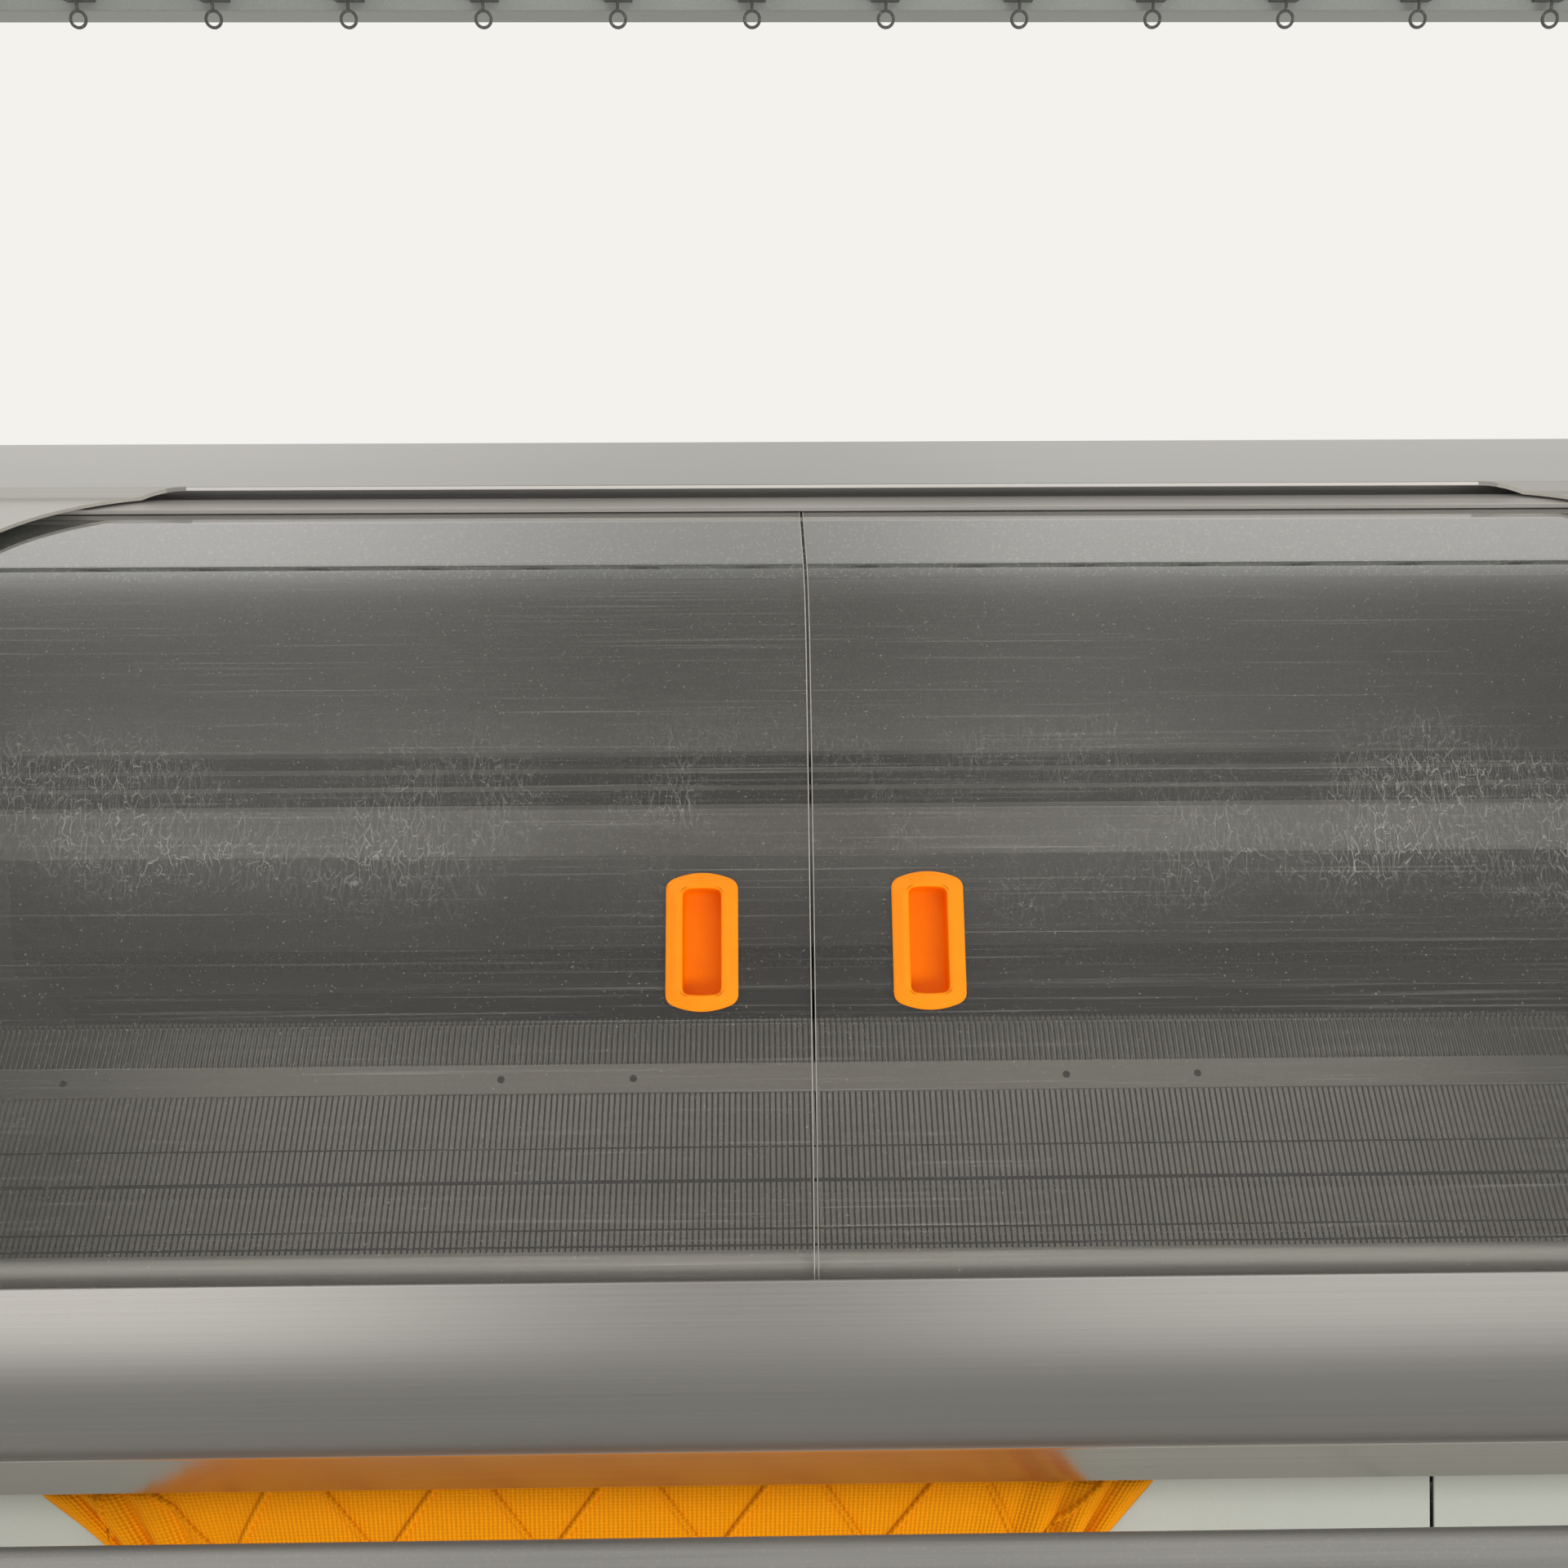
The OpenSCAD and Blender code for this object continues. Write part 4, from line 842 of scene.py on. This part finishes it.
for label in ("left", "right"):
    low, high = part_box(f"pull_{label}")
    centre = Vector(((low.x + high.x) / 2, pull_y * mm, pull_z * mm))
    turn = Matrix.Translation(centre) @ Matrix.Rotation(pull_slope, 4, "X")
    rings = [(pull_outline(*ring[:4]), ring[4]) for ring in pull_rings]
    count = len(rings[0][0])
    last = (len(rings) - 1) * count
    points = [turn @ (Vector((x, y, z)) * mm) for outline, z in rings for x, y in outline]
    faces = []
    for start in range(0, last, count):
        for i in range(count):
            beside = (i + 1) % count
            faces.append((start + i, start + beside, start + count + beside, start + count + i))
    faces += [tuple(range(count)), tuple(range(last, last + count))]
    pull = closed_piece(f"pull_{label}_moulding", points, faces, orange)
    # The recess is its own rings and its floor, which is the last face; they take the darker orange of
    # painted shade
    first_inner = (len(rings) - rings_in_recess) * count
    faces_given(pull, 1, recess_painted_shade_orange,
                lambda face: first_inner <= face.index < last or face.index == last + 1)
    smooth(pull, 36)
    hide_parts(f"pull_{label}")
    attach(pull, f"cover_{label}")


# Operating bar
# A long round bar in front of the beam starts and stops the machine. It is drawn steel tube
# with a satin grey finish, and it turns in cast eyes on the beam's lip.
bar_metal = finish(
    "satin bar metal", (0.33, 0.325, 0.31), (0.42, 0.41, 0.39), metallic=0.7,
    roughness=(0.33, 0.42), stretch=(5, 600, 600), specks=0.15)
dressed("operating_bar", bar_metal, edge=1.0)


# Knitted panel
# The panel in work is knitted in thick yarn, with fine wales and raised lines that cross in a
# lattice. It hangs from the rollers over the front panel's upper edge and folds at its ends.
yarn_colour = (0.96, 0.335, 0.002)
cloth_left, cloth_right = -426.0, 155.0
cloth_wide = cloth_right - cloth_left
# Its path in Y and Z: from the mouth down to the rollers, up and over the front panel's edge,
# then down along the panel's lean and round the panel's knee
panel_lean = math.radians(16)
knee_at = Vector((-298.8, 632.4))
knee_turn = 91.5
cloth_turns = [(-60, 1014), (-60, 760), (-110, 730), (-238, 740), (-292, 820), (-292, 880.5),
               (-298, 886.5), (-320.1, 886.5), (-321.4, 885.3)]
cloth_turns += [tuple(knee_at + knee_turn * Vector((-math.cos(a), math.sin(a))))
                for a in (panel_lean * k / 4 for k in (4, 3, 2, 1, 0))]
cloth_turns += [(knee_at.x - knee_turn, 560)]
# Behind the front panel, where no one sees the cloth, its rows are four times coarser
hidden_until, coarser = -292.5, 4
hangs_from = -320.9
upper_edge = 886
wale_wide, course_high = 2.4, 1.7


def knit_material():
    """Knitted yarn: wales and courses from the cloth's own map, painted shade in the low parts of the
    loops, fuzz and a soft sheen.
    """
    made = bpy.data.materials.new("knitted yarn")
    made.use_nodes = True
    tree = made.node_tree
    shader = tree.nodes["Principled BSDF"]
    shader.inputs["Roughness"].default_value = 0.9
    shader.inputs["Specular IOR Level"].default_value = 0.15
    shader.inputs["Sheen Weight"].default_value = 0.12
    shader.inputs["Sheen Tint"].default_value = (1.0, 0.45, 0.05, 1)
    uv = add(tree, "ShaderNodeUVMap", uv_map="cloth")
    split = add(tree, "ShaderNodeSeparateXYZ", {0: uv.outputs[0]})
    wale = calc(tree, split.outputs[0], 2 * math.pi / wale_wide)
    leg = calc(tree, wale, operation="COSINE")
    lean = calc(tree, calc(tree, leg, operation="ABSOLUTE"), 1.4)
    rows = calc(tree, split.outputs[1], 2 * math.pi / course_high)
    course = calc(tree, rows, lean, "ADD")
    loop = calc(tree, course, operation="SINE")
    fuzz = add(tree, "ShaderNodeTexNoise", {"Vector": uv.outputs[0], "Scale": 1.6, "Detail": 4.0})
    height = calc(tree, calc(tree, leg, 0.7), calc(tree, loop, 0.3), "ADD")
    rough = calc(tree, height, calc(tree, fuzz.outputs[0], 0.8), "ADD")
    # The colour darkens where the loops lie low, painted shade between the loops, and by the fuzz at
    # random
    shade = mapped(tree, rough, -0.8, 1.3)
    dark = tuple(c * 0.74 for c in yarn_colour) + (1,)
    tint = add(tree, "ShaderNodeMix", {"Factor": shade, 6: dark, 7: yarn_colour + (1,)},
               data_type="RGBA")
    tree.links.new(tint.outputs[2], shader.inputs["Base Color"])
    bump = add(tree, "ShaderNodeBump", {"Height": rough, "Distance": 0.4 * mm, "Strength": 0.8})
    tree.links.new(bump.outputs[0], shader.inputs["Normal"])
    return made


def pleat(turns):
    """A fold from 0 to 1 with a round crest and a narrow valley, repeated each whole turn."""
    return abs(math.cos(math.pi * turns)) ** 0.7


def ends_fold(x, drop):
    """How far the folds at the panel's ends stand out, drop mm below the panel's upper edge."""
    fold_high, fold_pitch = 13.0, 24
    grow = min(1.0, 0.5 + max(0.0, drop) / 60) * min(1.0, max(0.0, drop) / 4)
    left, right = x - cloth_left, cloth_right - x
    folds = math.exp(-((left - 36) / 38) ** 2) * pleat((left - 9) / fold_pitch)
    folds += math.exp(-((right - 30) / 34) ** 2) * pleat((right - 10) / fold_pitch)
    return grow * fold_high * folds


def cloth_line(step):
    """Points at even steps along the cloth's path, each with the direction out of its face."""
    line, length = [], 0.0
    for (y0, z0), (y1, z1) in zip(cloth_turns, cloth_turns[1:]):
        span = math.hypot(y1 - y0, z1 - z0)
        pieces = max(1, round(span / (step if y1 < hidden_until else coarser * step)))
        out = Vector((z1 - z0, y0 - y1)) / span
        for share in (k / pieces for k in range(pieces)):
            line.append((y0 + (y1 - y0) * share, z0 + (z1 - z0) * share, length + span * share, out))
        length += span
    line.append((cloth_turns[-1][0], cloth_turns[-1][1], length, line[-1][3]))
    return line, length


def cloth_at(share, y, z, out, proud=0.0):
    """The point a share of the way across the cloth where its path is at y, z, proud of its face."""
    hangs = y < hangs_from
    drop = upper_edge - z if hangs else 0.0
    across = cloth_left + cloth_wide * share
    # Both ends are gathered within the first 32 mm of drop, the left one more
    gather_drop, gather_reach = 32, 60
    edge = min(1.0, max(0.0, drop) / gather_drop)
    below = max(0, drop - gather_drop) * 0.02
    left = (edge * 44 + below) * math.exp(-(across - cloth_left) / gather_reach)
    right = (edge * 30 + below) * math.exp(-(cloth_right - across) / gather_reach)
    lift = proud
    if hangs:
        lift += ends_fold(across, drop) + 0.6 * math.sin(across / 31 + z / 47) * min(1, drop / 40)
    return Vector((across + left - right, y + out.x * lift, z + out.y * lift)) * mm


def raised_line(mesh, first, step, line):
    """Adds one raised cable that crosses the hanging cloth by a step sideways for each mm down."""
    loop_high, loop_wide, sunk = 2.6, 2.3, -1.2
    section = [(math.cos(a) * loop_wide, math.sin(a) * loop_high)
               for a in (math.pi * k / 5 for k in range(6))]
    section += [(-loop_wide * 0.7, sunk), (loop_wide * 0.7, sunk)]
    rows = []
    for y, z, s, out in line:
        across = first + step * (s - line[0][2])
        share = (across - cloth_left) / cloth_wide
        if 0.012 < share < 0.988:
            ring = [cloth_at(share + dx / cloth_wide, y, z, out, h + 0.5) for dx, h in section]
            rows.append((ring, across, s))
    if len(rows) < 3:
        return
    made = []
    for ring, across, s in rows:
        made.append([(mesh.verts.new(point), (across + dx, s)) for point, (dx, h) in zip(ring, section)])
    count = len(section)
    around = [[low[i], low[(i + 1) % count], high[(i + 1) % count], high[i]]
              for low, high in zip(made, made[1:]) for i in range(count)]
    for corners in around + [made[0], made[-1]]:
        face = mesh.faces.new([vert for vert, at in corners])
        for loop, (vert, at) in zip(face.loops, corners):
            loop[mesh.loops.layers.uv["cloth"]].uv = at


def knitted_cloth():
    """The cloth with its thickness and its lattice of raised lines, and its length in mm."""
    line, length = cloth_line(3.6)
    columns = 220
    points, faces, map_at = [], [], []
    for y, z, s, out in line:
        for k in range(columns + 1):
            points.append(cloth_at(k / columns, y, z, out))
            map_at.append((cloth_left + cloth_wide * k / columns, s))
    wide = columns + 1
    for r in range(len(line) - 1):
        for k in range(columns):
            faces.append((r * wide + k, r * wide + k + 1, (r + 1) * wide + k + 1, (r + 1) * wide + k))
    data = bpy.data.meshes.new("knitted_cloth")
    data.from_pydata(points, [], faces)
    layer = data.uv_layers.new(name="cloth")
    for loop in data.loops:
        layer.data[loop.index].uv = map_at[loop.vertex_index]
    data.materials.append(knit_material())
    cloth = new_piece("knitted_cloth", data)
    wall = cloth.modifiers.new("thickness", "SOLIDIFY")
    wall.thickness = 1.6 * mm
    wall.offset = 0
    baked(cloth)
    work = bmesh.new()
    work.from_mesh(cloth.data)
    hanging = [stop for stop in line if stop[0] < hangs_from]
    lattice_pitch = 86
    for first, step in ((-367, 0.75), (-303, -0.75)):
        for k in range(-4, 10):
            raised_line(work, first + lattice_pitch * k, step, hanging)
    bmesh.ops.recalc_face_normals(work, faces=work.faces)
    work.to_mesh(cloth.data)
    work.free()
    smooth(cloth, 180)
    return cloth, length


cloth, cloth_length = knitted_cloth()
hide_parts("knitted_panel")
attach(cloth, "machine")


# Yarn stand
# A square steel tube on two posts carries the yarn tensioners above the deck. Each has a pair
# of spring-loaded discs on a folded bracket and a bent wire eye under the beam.
stand_enamel = finish(
    "stand enamel", (0.27, 0.285, 0.275), (0.32, 0.335, 0.32), roughness=(0.38, 0.48),
    stretch=(600, 600, 600), relief=0.04, specks=0.15)
for node in ("yarn_posts", "yarn_beam"):
    dressed(node, stand_enamel, edge=1.8)
tensioners = dressed("tensioners", dark_enamel, edge=0.4)
disc_steel = finish(
    "bright disc steel", (0.50, 0.49, 0.47), (0.60, 0.59, 0.57), metallic=0.95,
    roughness=(0.16, 0.26), stretch=(900, 900, 900))
beam_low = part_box("yarn_beam")[0]
tensioner_count, tensioner_pitch = 16, 105
disc_at = [Vector(((k - (tensioner_count - 1) / 2) * tensioner_pitch * mm, beam_low.y - 25 * mm,
                   beam_low.z + 62 * mm)) for k in range(tensioner_count)]
# Outline of the nut, its stem and the two dished discs
disc_profile = [(0, 9.0), (5.4, 9.0), (6.0, 8.4), (6.0, 5.6), (5.4, 5.0), (2.0, 5.0), (2.0, 2.6),
                (3.5, 2.2), (9.0, 1.6), (13.6, 3.4), (14.0, 3.2), (13.8, 2.8), (9.2, 0.9),
                (9.2, 0.5), (13.8, -1.4), (14.0, -1.8), (13.6, -2.0), (9.0, -0.2), (0, -0.2)]
discs = lathe("discs", disc_profile, 20, disc_steel, axis="Y")
disc_pairs = copied("tensioner_discs", discs, disc_at, disc_steel,
                    "machine")
# The covers' bend would mirror them as a row of dark dashes, which the photo doesn't show
for piece in (tensioners, disc_pairs):
    piece.visible_glossy = False


# Control panel
# A moulded pale housing swivels on a post above the right hood, with a sunk screen, a row of
# keys and a mushroom button that stops the machine.
pale_plastic = finish(
    "pale moulding", (0.60, 0.60, 0.57), (0.64, 0.64, 0.61), roughness=(0.38, 0.46),
    stretch=(900, 900, 900), relief=0.03)
dressed("control_panel", pale_plastic, edge=4.0, steps=3)
dressed("panel_post", stand_enamel, edge=1.0)
red_plastic = finish(
    "red moulding", (0.55, 0.012, 0.01), (0.62, 0.02, 0.015), roughness=(0.25, 0.35),
    stretch=(300, 300, 300), coat=0.3)
dressed("emergency_stop", red_plastic, edge=2.5, steps=3)
screen_glass = finish(
    "screen glass", (0.006, 0.008, 0.010), (0.010, 0.012, 0.015), roughness=(0.06, 0.10),
    stretch=(30, 30, 30))
key_rubber = finish(
    "key rubber", (0.20, 0.21, 0.215), (0.25, 0.26, 0.265), roughness=(0.5, 0.62),
    stretch=(900, 900, 900))


def rounded_plate(name, wide, high, corner, front, back, material):
    """A plate with rounded corners, upright and centred on X and Z."""
    corners = [(sx * (wide / 2 - corner), sz * (high / 2 - corner), a0) for sx, sz, a0 in
               ((1, 1, 0), (-1, 1, 90), (-1, -1, 180), (1, -1, 270))]
    outline = []
    for cx, cz, a0 in corners:
        for k in range(5):
            a = math.radians(a0 + 22.5 * k)
            outline.append((cx + corner * math.cos(a), cz + corner * math.sin(a)))
    return prism(name, outline, front, back, lambda u, v, w: Vector((u, w, v)) * mm, material)


def put(piece, at, slot, body, edge):
    """Breaks the piece's edges, moves its mesh to its place and gives it its body. The slot is not used.
    """
    broken_edges(piece, edge)
    piece.data.transform(Matrix.Translation(Vector(at) * mm))
    smooth(piece)
    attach(piece, body)


recess_x, recess_z = 895.0, 1612.5
front_y = 106.0
screen = rounded_plate("panel_screen", 152, 118, 3, -0.6, 0.9, screen_glass)
put(screen, (recess_x, front_y + 2.1, recess_z), "tensioner_plastic", "control_panel", 0.4)
key = rounded_plate("key", 13, 9, 2.5, -1.4, 0.4, key_rubber)
broken_edges(key, 0.6)
# A row of eight keys under the screen and a column of four beside it
key_at = [Vector((recess_x - 70 + 20 * k, front_y, 1528)) * mm for k in range(8)]
key_at += [Vector((1000, front_y, 1600 + 16 * k)) * mm for k in range(4)]
copied("panel_keys", key, key_at, key_rubber, "control_panel")

low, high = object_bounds()
